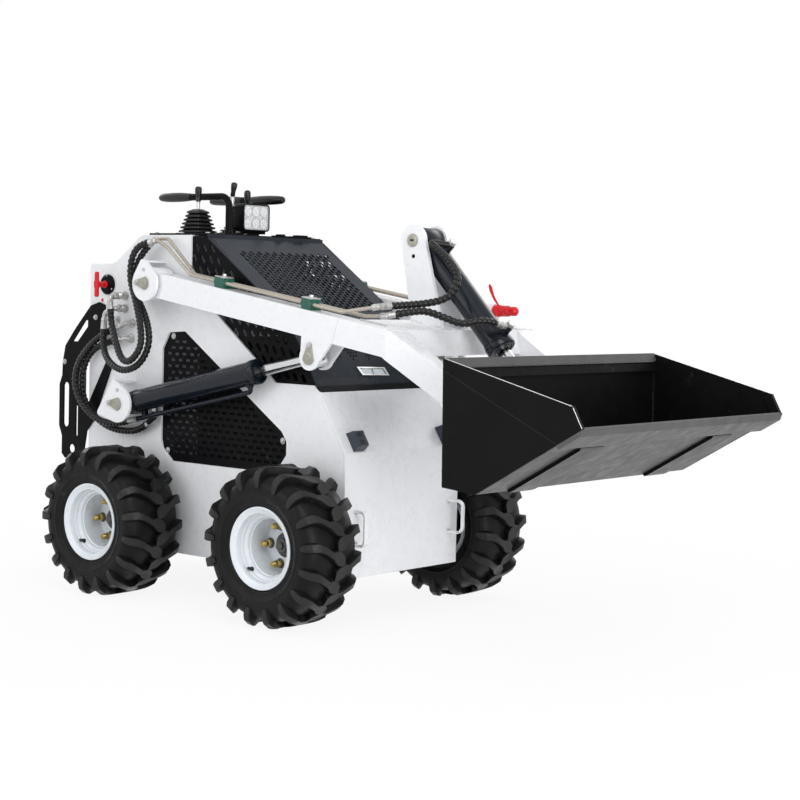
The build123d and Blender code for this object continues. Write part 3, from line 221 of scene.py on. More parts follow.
# Color, share and scale of a finish's stains.
STAINS = {
    "white_paint": ((0.78, 0.78, 0.77), -0.14, 26),
    "wheel_white": ((0.6, 0.61, 0.6), 0, 22),
    "tyre": ((0.03, 0.027, 0.024), -0.02, 19),
    "dusty_tread": ((0.034, 0.032, 0.029), 0, 26),
    "dark_steel": ((0.05, 0.035, 0.025), 0.3, 9),
    "hood_paint": ((0.026, 0.034, 0.048), -0.08, 40),
    "black_paint": ((0.03, 0.03, 0.029), -0.02, 30),
    "zinc": ((0.2, 0.185, 0.14), 0.08, 9),
    "gold_zinc": ((0.3, 0.2, 0.08), 0.1, 9),
    "slate_paint": ((0.02, 0.027, 0.038), -0.05, 24),
    "lit_slate_paint": ((0.04, 0.048, 0.06), -0.05, 9),
    "bucket_black": ((0.03, 0.03, 0.032), -0.06, 34),
    "worn_steel": ((0.066, 0.065, 0.067), 0, 9),
    "bare_edge": ((0.3, 0.3, 0.3), 0.06, 60),
    "red_plastic": ((0.5, 0.01, 0.015), -0.04, 9),
    "plated_steel": ((0.28, 0.27, 0.25), 0.1, 9),
    "pipe_steel": ((0.3, 0.26, 0.21), -0.05, 9),
    "hose": ((0.03, 0.03, 0.029), -0.04, 40),
}
MATERIALS = {name: material(name, *look, *STAINS.get(name, ()))
             for name, look in FINISHES.items()}
# The lens lets most light straight through, and the chrome's grain runs along its rods.
MATERIALS["lamp"].node_tree.nodes["Principled BSDF"].inputs["Alpha"].default_value = 0.3
MATERIALS["chrome"].node_tree.nodes["Mapping"].inputs["Scale"].default_value = (1, 8, 8)
# The record's slots, and the one that each finish of its own counts as.
SLOTS = {part["slot"] for part in frame["record"]["materials"]}
SLOT_OF = {"reflector": "lamp", "gold_zinc": "zinc", "worn_steel": "bucket_black",
           "bare_edge": "bucket_black", "pipe_steel": "plated_steel", "weld": "white_paint",
           "burnt_weld": "bucket_black", "dusty_tread": "tyre", "lit_slate_paint": "slate_paint"}


# ---- shapes
ROUND = 24                  # segments round a small turned part
ROD_CHAMFER = 0.8
WELD_STEP, WELD_RIPPLE = 2.2, 2.1   # step along a weld, and angle by which its ripple advances
HOLE_REACH = 60.0           # more than any hole measures across


def pairs(loop):
    """Each item of a closed loop with the one after it."""
    return zip(loop, loop[1:] + loop[:1])


def circle(middle, first, second, radius, segments, turn=0.0):
    """Points round a middle, from the first direction towards the second."""
    return [middle + (first * math.cos(a) + second * math.sin(a)) * radius
            for a in (turn + 2 * math.pi * k / segments for k in range(segments))]


def square_to(axis):
    """Two directions at right angles to an axis and to each other."""
    side = axis.cross(Z if abs(axis.z) < 0.9 else X).normalized()
    return side, axis.cross(side).normalized()


def inset(outline, distance):
    """Outline, going round anticlockwise, moved inwards by a distance."""
    moved = []
    for (before, corner), (_, after) in zip(pairs(outline[-1:] + outline[:-1]), pairs(outline)):
        first = Vector((corner[0] - before[0], corner[1] - before[1])).normalized()
        second = Vector((after[0] - corner[0], after[1] - corner[1])).normalized()
        normal = Vector((-first.y - second.y, first.x + second.x))
        scale = distance * 2 / max(normal.length_squared, 0.5)
        moved.append((corner[0] + normal.x * scale, corner[1] + normal.y * scale))
    return moved


def bent(points, bends, steps):
    """Line through points with its corners bent to radii."""
    points = [Vector(point) for point in points]
    line = [points[0]]
    for before, corner, after, bend in zip(points, points[1:], points[2:], bends):
        first, second = (before - corner).normalized(), (after - corner).normalized()
        reach = min(bend / math.tan(first.angle(second) / 2), (before - corner).length * 0.5,
                    (after - corner).length * 0.5)
        start, end = corner + first * reach, corner + second * reach
        line += [start * (1 - t) ** 2 + corner * 2 * t * (1 - t) + end * t ** 2
                 for t in (k / steps for k in range(steps + 1))]
    return line + [points[-1]]


class Shape:
    """Faces gathered in millimetres, then made into one piece of the machine."""

    def __init__(self):
        self.points, self.faces, self.finishes = [], [], []

    def add(self, points, faces, finish=0, start=None):
        """Faces between new points, or between the points from start on."""
        start = len(self.points) if start is None else start
        self.points += [Vector(point) for point in points]
        self.faces += [[start + index for index in face] for face in faces]
        self.finishes += [finish] * len(faces)
        return self

    def rings(self, rings, closed=False, caps=True, finish=0):
        """Skin over rings of points, each with the same number of points."""
        count = len(rings[0])
        bases = [count * index for index in range(len(rings))]
        faces = [[a + index, a + (index + 1) % count, b + (index + 1) % count, b + index]
                 for a, b in (pairs(bases) if closed else zip(bases, bases[1:]))
                 for index in range(count)]
        if caps and not closed:
            faces.append(list(range(count))[::-1])
            faces.append([bases[-1] + index for index in range(count)])
        return self.add([point for ring in rings for point in ring], faces, finish)

    def turned(self, start, direction, profile, segments=ROUND, closed=False, finish=0, turn=0.0):
        """Turned part: profile gives (distance along the axis, radius)."""
        axis = Vector(direction).normalized()
        return self.rings([circle(Vector(start) + axis * distance, *square_to(axis), radius,
                                  segments, turn) for distance, radius in profile],
                          closed=closed, finish=finish)

    def rod(self, start, end, radius, segments=ROUND, finish=0):
        """Round bar with chamfered ends."""
        way = Vector(end) - Vector(start)
        chamfer = min(ROD_CHAMFER, radius / 3, way.length / 3)
        return self.turned(start, way, [(0, radius - chamfer), (chamfer, radius),
                                        (way.length - chamfer, radius),
                                        (way.length, radius - chamfer)], segments, finish=finish)

    def bolt(self, place, direction, radius, height, washer=True, finish=0):
        """Hexagon head on its washer, standing off a face."""
        if washer:
            self.turned(place, direction, [(0, radius * 1.32), (1.4, radius * 1.32),
                                           (1.8, radius * 1.2), (1.8, radius * 0.9)],
                        finish=finish)
        base = Vector(place) + Vector(direction).normalized() * (1.7 if washer else 0)
        return self.turned(base, direction, [(0, radius), (height * 0.8, radius),
                                             (height, radius * 0.86), (height, radius * 0.3)],
                           6, finish=finish, turn=0.4)

    def nut(self, start, direction, length, radius, finish=0, turn=0.0):
        """Hexagonal union nut with chamfered ends."""
        return self.turned(start, direction, [(0, radius * 0.86), (length * 0.12, radius),
                                              (length * 0.88, radius), (length, radius * 0.86)],
                           6, finish=finish, turn=turn)

    def ferrule(self, start, direction, length, radius, finish=0):
        """Crimped hose ferrule with its rings."""
        profile = [(0, radius * 0.78), (1, radius)]
        for base in (3 + k * (length - 6) / 3 for k in range(3)):
            profile += [(base, radius), (base + 1, radius * 0.9), (base + 2.4, radius * 0.9),
                        (base + 3.4, radius)]
        profile += [(length - 1, radius), (length, radius * 0.8)]
        return self.turned(start, direction, profile, finish=finish)

    def tube(self, points, radius, bends=(), finish=0, segments=20):
        """Round tube with its corners bent to radii."""
        line = bent(points, bends, 8)
        side = square_to((line[1] - line[0]).normalized())[0]
        rings = []
        for before, point, after in zip(line[:1] + line, line, line[1:] + line[-1:]):
            direction = (after - before).normalized()
            side = (side - direction * side.dot(direction)).normalized()
            rings.append(circle(point, side, direction.cross(side), radius, segments))
        return self.rings(rings, finish=finish)

    def weld(self, points, radius):
        """Rippled weld bead along a line of points."""
        points, rings = [Vector(point) for point in points], []
        for start, end in zip(points, points[1:]):
            first, second = square_to((end - start).normalized())
            steps = max(int((end - start).length / WELD_STEP), 1)
            for k in range(steps + (end == points[-1])):
                swell = radius * (0.84 + 0.16 * math.cos(k * WELD_RIPPLE))
                rings.append(circle(start.lerp(end, k / steps), first, second, swell, 8))
        return self.rings(rings)

    def prism(self, outline, low, high, finish=0, edge_finish=None, chamfer=0.0):
        """Plate between two values of y from an outline in (x, z)."""
        low, high = sorted((low, high))
        if sum(a[0] * b[1] - b[0] * a[1] for a, b in pairs(outline)) < 0:
            outline = outline[::-1]
        layers = [(low, outline), (high, outline)]
        if chamfer:
            inner = inset(outline, chamfer)
            layers = [(low, inner), (low + chamfer, outline), (high - chamfer, outline),
                      (high, inner)]
        count, start = len(outline), len(self.points)
        bases = [count * index for index in range(len(layers))]
        self.add([(x, y, z) for y, layer in layers for x, z in layer],
                 [list(range(count)), [bases[-1] + index for index in range(count)][::-1]], finish)
        return self.add([], [[a + index, b + index, b + (index + 1) % count,
                              a + (index + 1) % count] for a, b in zip(bases, bases[1:])
                             for index in range(count)],
                        finish if edge_finish is None else edge_finish, start)

    def block(self, low, high, chamfer=1.0, finish=0):
        """Box between two corners with chamfered edges along y."""
        outline = [(low[0], low[2]), (high[0], low[2]), (high[0], high[2]), (low[0], high[2])]
        return self.prism(outline, low[1], high[1], finish, chamfer=chamfer)

    def mirror(self):
        """The same shape on the machine's other side."""
        self.points = [Vector((p.x, -p.y, p.z)) for p in self.points]
        self.faces = [face[::-1] for face in self.faces]
        return self

    def mesh(self, name, finishes, smooth):
        """Object with these faces, its edges sharp above an angle in degrees."""
        mesh = bpy.data.meshes.new(name)
        mesh.from_pydata([at(*point) for point in self.points], [], self.faces)
        for finish in finishes:
            mesh.materials.append(MATERIALS[finish])
        mesh.polygons.foreach_set("material_index", self.finishes)
        tidy = bmesh.new()
        tidy.from_mesh(mesh)
        bmesh.ops.recalc_face_normals(tidy, faces=tidy.faces)
        tidy.to_mesh(mesh)
        tidy.free()
        mesh.shade_smooth()
        mesh.set_sharp_from_angle(angle=math.radians(smooth))
        piece = bpy.data.objects.new(name, mesh)
        bpy.context.collection.objects.link(piece)
        return piece

    def make(self, name, body, finishes, node=None, smooth=35.0):
        """Piece that rides on a body, in place of a CAD node."""
        finishes = finishes.split()
        piece = self.mesh(name, finishes, smooth)
        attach(piece, body)
        finishes[0] if finishes[0] in SLOTS else SLOT_OF[finishes[0]]
        if node:
            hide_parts(node)


def round_edges(piece, width):
    """Small rounded edges that catch the light."""
    weld = piece.modifiers.new("weld", "WELD")
    weld.merge_threshold = 0.00002
    bevel = piece.modifiers.new("edges", "BEVEL")
    bevel.width = width / 1000
    bevel.segments = 2
    bevel.limit_method = "ANGLE"
    bevel.angle_limit = math.radians(38)


def dress(names, finish, edges=0.0):
    """Finish of CAD nodes that keep their own shape, with edges rounded to a width."""
    for name in names.split():
        node = frame["nodes"][name]
        node.data.materials.clear()
        node.data.materials.append(MATERIALS[finish])
        if edges:
            round_edges(node, edges)


def rounded_square(middle, across, up, half, corner):
    """Square with rounded corners round a middle point, half as wide as half says each way."""
    return [Vector(middle) + across * (sx * (half[0] - corner) + corner * math.cos(angle))
            + up * (sy * (half[1] - corner) + corner * math.sin(angle))
            for turn, (sx, sy) in enumerate(((1, 1), (-1, 1), (-1, -1), (1, -1)))
            for angle in (math.radians(90 * turn + 90 * k / 4) for k in range(5))]


def slot_outline(centre, length, width, angle=0.0):
    """Round-ended slot as eight points, its length turned by an angle in degrees."""
    half, side, corner = length / 2, width / 2, width * 0.3
    points = [(half - corner, -side), (half, corner - side), (half, side - corner),
              (half - corner, side), (corner - half, side), (-half, side - corner),
              (-half, corner - side), (corner - half, -side)]
    turn = math.radians(angle)
    return [(centre[0] + x * math.cos(turn) - y * math.sin(turn),
             centre[1] + x * math.sin(turn) + y * math.cos(turn)) for x, y in points]


def inside(point, outline):
    """Whether a point lies inside an outline."""
    result = False
    for (ax, ay), (bx, by) in pairs(outline):
        if (ay > point[1]) != (by > point[1]):
            if point[0] < ax + (bx - ax) * (point[1] - ay) / (by - ay):
                result = not result
    return result


def sheet(outline, holes, place, thickness, creases=()):
    """Sheet with holes: place(u, v, depth) gives the point in space of a point on the sheet."""
    points, edges = [], []
    for loop in [outline, *holes]:
        start = len(points)
        points += [Vector(point) for point in loop]
        edges += pairs(list(range(start, len(points))))
    for crease in creases:
        points += [Vector(point) for point in crease]
        edges.append((len(points) - 2, len(points) - 1))
    made, _, faces, _, _, _ = delaunay_2d_cdt(points, edges, [], 0, 1e-4)
    kept = []
    for face in faces:
        middle = sum((made[index] for index in face), Vector((0, 0))) / len(face)
        near = [hole for hole in holes if abs(hole[0][0] - middle.x) < HOLE_REACH
                and abs(hole[0][1] - middle.y) < HOLE_REACH]
        if inside(middle, outline) and not any(inside(middle, hole) for hole in near):
            kept.append(list(face))
    count = len(made)
    shape = Shape().add([place(p.x, p.y, depth) for depth in (0, thickness) for p in made],
                        kept + [[count + index for index in face][::-1] for face in kept])
    used = dict.fromkeys(pair for face in kept for pair in pairs(face))
    return shape.add([], [[b, a, count + a, count + b] for a, b in used if (b, a) not in used],
                     start=0)


# ---- camera, floor and light
# Place, point aimed at, size in metres and power of each soft lamp.
LAMPS = {"key": ((3200, -2600, 3600), (100, 0, 500), 2.6, 78),
         "side": ((-1500, -4200, 2200), (0, 0, 600), 3.0, 34),
         "far": ((600, 4200, 3000), (200, 0, 600), 3.0, 42),
         "rear": ((-4200, 600, 2600), (0, 0, 600), 2.6, 38),
         "front": ((4300, -1300, 900), (420, 0, 420), 2.4, 64)}
CAMERA_PLACE, FOCAL_LENGTH = (3817.5, -4012.8, 965.5), 79.83
AZIMUTH, LOOKS_DOWN, ROLL = math.radians(39.92), math.radians(3.6), math.radians(1.4)


def camera():
    """Camera at the photograph's place and angle."""
    lens = bpy.data.cameras.new("camera")
    lens.sensor_width = 36.0
    lens.lens = FOCAL_LENGTH
    holder = bpy.data.objects.new("camera", lens)
    holder.matrix_world = (
        Matrix.Translation(at(*CAMERA_PLACE)) @ Matrix.Rotation(AZIMUTH, 4, "Z")
        @ Matrix.Rotation(math.pi / 2 - LOOKS_DOWN, 4, "X") @ Matrix.Rotation(ROLL, 4, "Z"))
    bpy.context.collection.objects.link(holder)
    bpy.context.scene.camera = holder
    bpy.context.scene.view_settings.view_transform = "Standard"


def studio():
    """White background, a pale floor that keeps the shadow, and soft light."""
    world = bpy.data.worlds.new("studio")
    bpy.context.scene.world = world
    tree = Nodes(world)
    shown = tree.fill(tree.nodes["Background"], Color=(1, 1, 1, 1), Strength=1.0)
    light = tree.new("Background", Color=(0.96, 0.98, 1, 1), Strength=0.58)
    mix = tree.new("MixShader", tree.shows_background(), light.outputs[0], shown.outputs[0])
    tree.fill(tree.nodes["World Output"], Surface=mix.outputs[0])

    bpy.ops.mesh.primitive_grid_add(x_subdivisions=8, y_subdivisions=8, size=60)
    floor = bpy.context.object
    floor.name = "floor"
    ground = bpy.data.materials.new("floor")
    tree = Nodes(ground)
    matt = tree.fill(tree.nodes["Principled BSDF"], Base_Color=(0.9, 0.9, 0.9, 1), Roughness=0.8)
    glow = tree.new("Emission", Strength=1.0)
    place = tree.new("TexCoord").outputs["Object"]
    from_middle = tree.new("VectorMath", place, operation="LENGTH").outputs["Value"]
    fade = tree.new("MapRange", from_middle, From_Min=0.9, From_Max=2.6, To_Min=0.9, To_Max=1.0)
    share = tree.new("Math", tree.shows_background(), fade.outputs["Result"],
                     operation="MULTIPLY")
    mix = tree.new("MixShader", share.outputs[0], matt.outputs[0], glow.outputs[0])
    tree.fill(tree.nodes["Material Output"], Surface=mix.outputs[0])
    floor.data.materials.append(ground)

    for name, (place, aim, size, power) in LAMPS.items():
        soft = bpy.data.lights.new(name, "AREA")
        soft.shape = "DISK"
        soft.size = size
        soft.energy = power
        lamp = bpy.data.objects.new(name, soft)
        lamp.location = at(*place)
        lamp.rotation_mode = "QUATERNION"
        lamp.rotation_quaternion = (at(*aim) - at(*place)).to_track_quat("-Z", "Y")
        bpy.context.collection.objects.link(lamp)


camera()
studio()


# ---- hoses
HOSE_RADIUS = 10.0
GUARD_PITCH = 15.0          # one turn of a hose's spiral guard
GROOVE_SHARE = 0.1          # half the groove's share of that turn
HOSE_STEP, HOSE_SIDES = 1.6, 22


def beside_body(route, side):
    """Points of a route given as x, distance out from the side plate, and z."""
    return [(x, side * (BODY_Y + out), z) for x, out, z in route]


def spline_line(route):
    """Smooth line through the frame, in metres, with the route's points as its control points."""
    curve = bpy.data.curves.new("route", "CURVE")
    curve.dimensions = "3D"
    curve.resolution_u = 24
    spline = curve.splines.new("NURBS")
    spline.points.add(len(route) - 1)
    for control, point in zip(spline.points, route):
        control.co = (*at(*point), 1)
    spline.order_u = 3
    spline.use_endpoint_u = True
    holder = bpy.data.objects.new("route", curve)
    bpy.context.collection.objects.link(holder)
    made = bpy.data.meshes.new_from_object(
        holder.evaluated_get(bpy.context.evaluated_depsgraph_get()))
    line = [vertex.co.copy() for vertex in made.vertices]
    bpy.data.objects.remove(holder)
    bpy.data.meshes.remove(made)
    return line


def evenly(line, step):
    """The same line with its points a step apart, and its length."""
    lengths = [0.0]
    for a, b in zip(line, line[1:]):
        lengths.append(lengths[-1] + (b - a).length)
    count = max(int(lengths[-1] / step), 2)
    points, index = [], 0
    for wanted in (lengths[-1] * k / count for k in range(count + 1)):
        while index < len(line) - 2 and lengths[index + 1] < wanted:
            index += 1
        share = (wanted - lengths[index]) / max(lengths[index + 1] - lengths[index], 1e-9)
        points.append(line[index].lerp(line[index + 1], min(share, 1.0)))
    return points, lengths[-1]


def guard_radius(distance, angle):
    """Radius of the spiral guard wound over a hose: a groove between low crowned ridges."""
    phase = (distance / GUARD_PITCH + angle / (2 * math.pi)) % 1.0
    edge = min(phase, 1 - phase)
    if edge < GROOVE_SHARE:
        return HOSE_RADIUS - 2.0
    return HOSE_RADIUS + 0.9 - 1.4 * ((0.5 - edge) / (0.5 - GROOVE_SHARE)) ** 2


def hose(name, route, node, start, end):
    """Hose with its spiral guard along its route."""
    path = spline_line(route)
    line = [point * 1000 + X * ORIGIN_X for point in path]
    points, length = evenly(line, HOSE_STEP)
    side = square_to((points[1] - points[0]).normalized())[0]
    rings = []
    for index, point in enumerate(points):
        ahead = min(index, len(points) - 2)
        tangent = (points[ahead + 1] - points[ahead]).normalized()
        side = (side - tangent * side.dot(tangent)).normalized()
        distance = length * index / (len(points) - 1)
        angles = [2 * math.pi * k / HOSE_SIDES for k in range(HOSE_SIDES)]
        rings.append([point + (side * math.cos(angle) + tangent.cross(side) * math.sin(angle))
                      * guard_radius(distance, angle) for angle in angles])
    piece = Shape().rings(rings).mesh(name, ["hose"], 42)
    at(*start)
    at(*end)
    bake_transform(piece)
    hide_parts(node)
    at(*route[0])


ARM_HOSES = {
    "outer": [(-462, 65, 880), (-458, 66, 839), (-404, 97, 790), (-348, 120, 729),
              (-302, 129, 718), (-259, 132, 746), (-249, 123, 785), (-286, 98, 842),
              (-338, 72, 912), (-378, 61, 975), (-373, 60, 1042), (-338, 58, 1082),
              (-297, 55, 1088)],
    "inner": [(-515, 46, 816), (-516.8, 48.4, 757), (-448, 82, 712), (-362, 100, 687),
              (-286, 102, 708), (-249, 98, 758), (-252, 89, 807), (-307, 59, 866),
              (-384, 38, 936), (-382, 37, 1000), (-356, 34, 1054), (-322, 31, 1080)]}
CYLINDER_HOSES = {
    "rod": [(-486, 24, 818), (-566, 18.3, 793.7), (-628, 44, 722), (-652, 50, 655),
            (-634, 51, 596), (-585, 48, 545), (-512, 45, 516), (-441.7, 44, 519.1),
            (-392.9, 44, 530.1)],
    "base": [(-488, 23, 778), (-560, 17.7, 766), (-622, 23, 722), (-646, 26, 650),
             (-632, 26, 580), (-577, 26, 530), (-505, 26, 500), (-430, 26, 494),
             (-361.1, 26, 501.7), (-328, 26, 524.3)]}
UPPER_TILT_HOSE = [
    (650, -280, 916), (661.4, -231.4, 918.9), (686, -178, 924), (712, -130, 934),
    (727, -98, 955), (735, -80, 1003), (680.8, -65.9, 1052.7), (630, -60, 1084)]
LOWER_TILT_HOSE = [
    (656, -267, 893), (684.8, -233.4, 901), (706, -192, 906), (738, -152, 888),
    (786, -126, 868), (831.4, -89, 884.9), (840.4, -46, 875.4)]

for side_name, side in SIDES.items():
    for hose_name, route in ARM_HOSES.items():
        hose(f"arm_hose_{hose_name}_{side_name}", beside_body(route, side),
             f"arm_hoses_{side_name}", (-350, 0, 800), (-350, 0, 1080))
    for hose_name, route in CYLINDER_HOSES.items():
        hose(f"cylinder_hose_{hose_name}_{side_name}", beside_body(route, side),
             f"cylinder_hoses_{side_name}",
             (-570, 0, 600), (-400, 0, 522))
for hose_name, route, start, end in (
        ("upper", UPPER_TILT_HOSE, (690, -180, 925), (690, -70, 1050)),
        ("lower", LOWER_TILT_HOSE, (690, -220, 905), (838, -60, 877))):
    hose(f"tilt_hose_{hose_name}", route, "tilt_hoses", start, end)


# ---- wheels
LUGS_A_SIDE = 17
LUG_BEVEL, LUG_DRAFT = 2.2, 4   # bevel of a lug's top edges, and how much wider its root is
# One lug in sections from sidewall to past the middle: distance from the middle and radius of
# its top, the same of its root, and its leading and trailing edge round the tyre.
LUG = [((104.5, 170), (101, 174), 9, -9), ((106.5, 182), (100, 182), 13, -13),
       ((106.0, 198), (95, 191), 14, -13), ((100.5, 212), (90, 198), 14, -13),
       ((84.0, 225), (78, 204), 13, -13), ((66.0, 229), (64, 208), 5, -18),
       ((48.0, 229.8), (48, 211), -6, -28), ((31.0, 229.8), (31, 211), -15, -38),
       ((24.0, 229.8), (24, 211), -14, -47), ((13.0, 229.8), (13, 211), -13, -56),
       ((-3.0, 229.8), (-3, 211), -20, -61), ((-15.0, 229.8), (-13, 211), -33, -59)]
TOP_FACE = 2                # which face of a lug section is its top
# Outlines of a wheel's turned parts: radius, and distance outboard from its middle.
CARCASS = [(106, 70), (106, 84.5), (113, 86), (118.6, 87.5), (121.5, 91), (125, 94.6), (128, 94),
           (131, 96.4), (134, 95.8), (146, 100.2), (148, 101.6), (151, 101.6), (153, 100.8),
           (170, 102.4), (180, 101), (190, 96), (198, 88), (204, 76), (208.5, 60), (211, 44),
           (212, 20), (212, 0)]
CARCASS_INSIDE = [(112, -72), (190, -60), (190, 60), (112, 72)]
RIM = [(118, 89), (117.2, 91.4), (114.5, 92.4), (111.5, 91.6), (108.6, 88), (104, 85.6),
       (99.4, 84), (97.8, 79), (97.4, 66), (94.4, 64), (93.4, 57), (87, 54.6), (84.6, 51.5),
       (84, 44), (80.8, 42.4), (80, 20), (79.6, 0), (78.6, -14), (75, -19.6), (71.8, -20),
       (70.2, -15.2), (66, -14.4), (38, -14.4), (35.6, -16), (35, -22), (35, -26), (76, -26),
       (84, -22), (84, -48), (101.6, -62), (101.6, -86), (114, -88), (118, -92), (117, -89),
       (106, -83), (104.6, -62), (87.5, -44), (87.5, 42), (97, 56), (104.6, 64), (104.6, 84),
       (112, 87)]
STUD_CIRCLE = 57.15         # radius of the circle that a wheel's nuts stand on
DISC_FACE = 14.4            # outer face of the wheel's centre, inboard of the tyre's middle
VALVE_ANGLE = {-1: 228, 1: 312}
TREAD_TURN = {"front": 0.11, "rear": 0.18}


def wheel_point(axle_x, side, across_wheel, radius, angle):
    """Point of a wheel, its width measured outboard from its middle."""
    return (axle_x + radius * math.cos(angle), side * (WHEEL_Y + across_wheel),
            TYRE_RADIUS + radius * math.sin(angle))


def turned_wheel(axle_x, side, profile, segments):
    """Closed ring round a wheel's axle."""
    return Shape().rings([[wheel_point(axle_x, side, across, radius, 2 * math.pi * k / segments)
                           for k in range(segments)] for radius, across in profile], closed=True)


def tyre(axle_x, side, turn):
    """Carcass with sidewall ribs and two rows of interlocking swept lugs."""
    shape = turned_wheel(axle_x, side, CARCASS + [(r, -across) for r, across in CARCASS[-2::-1]]
                         + CARCASS_INSIDE, 144)
    pitch = 2 * math.pi / LUGS_A_SIDE
    for row, start in ((1, 0.0), (-1, pitch / 2)):
        for middle in (turn + start + index * pitch for index in range(LUGS_A_SIDE)):
            shape.rings([[
                wheel_point(axle_x, side, row * y, r, middle + around / TYRE_RADIUS)
                for y, r, around in (
                    (*root, lead + LUG_DRAFT), (top_y, top_r - LUG_BEVEL, lead),
                    (top_y, top_r, lead - LUG_BEVEL), (top_y, top_r, trail + LUG_BEVEL),
                    (top_y, top_r - LUG_BEVEL, trail), (*root, trail - LUG_DRAFT))]
                for (top_y, top_r), root, lead, trail in LUG])
            # The lug tops take the second finish: some dust and a painted highlight that sets them
            # off from the darker sides.
            sections = len(LUG) - 1
            tops = len(shape.finishes) - 2 - sections * 6 + TOP_FACE
            shape.finishes[tops:-2:6] = [1] * sections
    return shape


def rim(axle_x, side):
    """Pressed rim with a stepped barrel, a dished centre, its nuts and its valve."""
    shape = turned_wheel(axle_x, side, RIM, 96)
    out = Y * side
    middle = Vector((axle_x, side * (WHEEL_Y - DISC_FACE), TYRE_RADIUS))
    threads = [(26 + step * 1.1, 8.0 if step % 2 else 7.2) for step in range(9)]
    for index in range(5):
        angle = 2 * math.pi * index / 5 + (0 if side > 0 else math.pi)
        place = middle + (X * math.cos(angle) + Z * math.sin(angle)) * STUD_CIRCLE
        shape.turned(place, out, [(0, 15), (1.6, 15), (2.6, 13), (2.6, 9)], finish=2)
        shape.turned(place + out * 2, out, [(0, 9), (3, 11.8), (4, 11.8), (13, 11.8), (14.5, 10),
                                            (14.5, 9)], 6, finish=1, turn=index)
        shape.turned(place, out, [(14, 9.4), (25, 9.4), (26, 8.6), *threads, (37, 5.5)], finish=1)
    shape.turned(middle, out, [(-2, 34.4), (3, 34.4), (5.5, 31), (6, 24)], finish=2)
    shape.turned(middle + out * 5, out, [(0, 21), (1, 22.5), (14, 22.5), (16, 20), (16, 12)], 6,
                 finish=2, turn=0.3)
    shape.turned(middle + out * 20, out, [(0, 11.5), (7, 11.5), (8.5, 9.5), (8, 3)], finish=2)
    valve = math.radians(VALVE_ANGLE[side])
    foot, tip = (Vector(wheel_point(axle_x, side, across, radius, valve))
                 for across, radius in ((57, 93), (74, 86)))
    return shape.turned(foot, tip - foot, [(-3, 8), (2, 7.5), (4, 5.5), (13, 5), (13.5, 4),
                                           (22, 3.8), (22.5, 2)], 16, finish=3)


for end_name, axle_x in AXLES.items():
    for side_name, side in SIDES.items():
        corner = f"{end_name}_{side_name}"
        tyre(axle_x, side, TREAD_TURN[end_name]).make(
            f"tread_{corner}", f"wheel_{corner}", "tyre dusty_tread", f"tyre_{corner}", 26)
        rim(axle_x, side).make(
            f"wheel_{corner}_rim", f"wheel_{corner}",
            "wheel_white gold_zinc dark_steel black_rubber", f"rim_{corner}", 40)
        dress(f"hub_{corner}", "dark_steel")


# ---- hood, side panels and grilles
HOOD_HALF, HOOD_SHEET = 258.0, 4.0
FOLD_RADIUS = 9.0
LATTICE = [(58, -196), (389, -196), (389, 204), (66, 216)]
LATTICE_START, LATTICE_STEP = (54.0, -200.0), (24.0, 17.0)  # down the hood and across it
PERFORATION_STEP, PERFORATION_START = 12.0, -158.0
STEEP_TOP = 516.0           # distance down the hood at which its steep face begins
GRILLE_SIDE = [(-196, 1109), (-98, 1109), (225, 880), (300, 790), (352, 700), (360, 660),
               (180, 660), (-85, 860), (-85, 965), (-196, 985)]
WINDOW = [(-292, 480), (-292, 760), (-262, 812), (-190, 818), (228, 538), (248, 510),
          (248, 470), (205, 414), (-240, 414), (-285, 452)]
SLANT_ANGLE = -55.0         # lean of the side grille's slots
SLANT = Vector((math.cos(math.radians(SLANT_ANGLE)), math.sin(math.radians(SLANT_ANGLE))))
SLANT_STEP, SLANT_ROW = 44.0, 26.0      # along a row of its slots and from row to row
LEVEL_START, LEVEL_STEP, LEVEL_ROW = (-284, 424), 33, 19    # the same of the window grille


def folded(points, radius):
    """Line with its corners rounded, as (distance, x, z, direction)."""
    line = bent(points, [radius] * (len(points) - 2), 4)
    result, distance = [], 0.0
    for before, point, after in zip(line[:1] + line, line, line[1:] + line[-1:]):
        distance += math.dist(before, point)
        result.append((distance, *point, (after - before).normalized()))
    return result


hood_path = folded(HOOD_LINE, FOLD_RADIUS)
hood_end = hood_path[-1][0]


def on_hood(s, y, depth):
    """Point of the hood at a distance down its line; depth goes into the sheet."""
    index = 0
    while index < len(hood_path) - 2 and hood_path[index + 1][0] < s:
        index += 1
    first, second = hood_path[index], hood_path[index + 1]
    share = (s - first[0]) / max(second[0] - first[0], 1e-6)
    x = first[1] + (second[1] - first[1]) * share
    z = first[2] + (second[2] - first[2]) * share
    direction = first[3].lerp(second[3], min(max(share, 0), 1)).normalized()
    return x + direction.y * depth, y, z - direction.x * depth


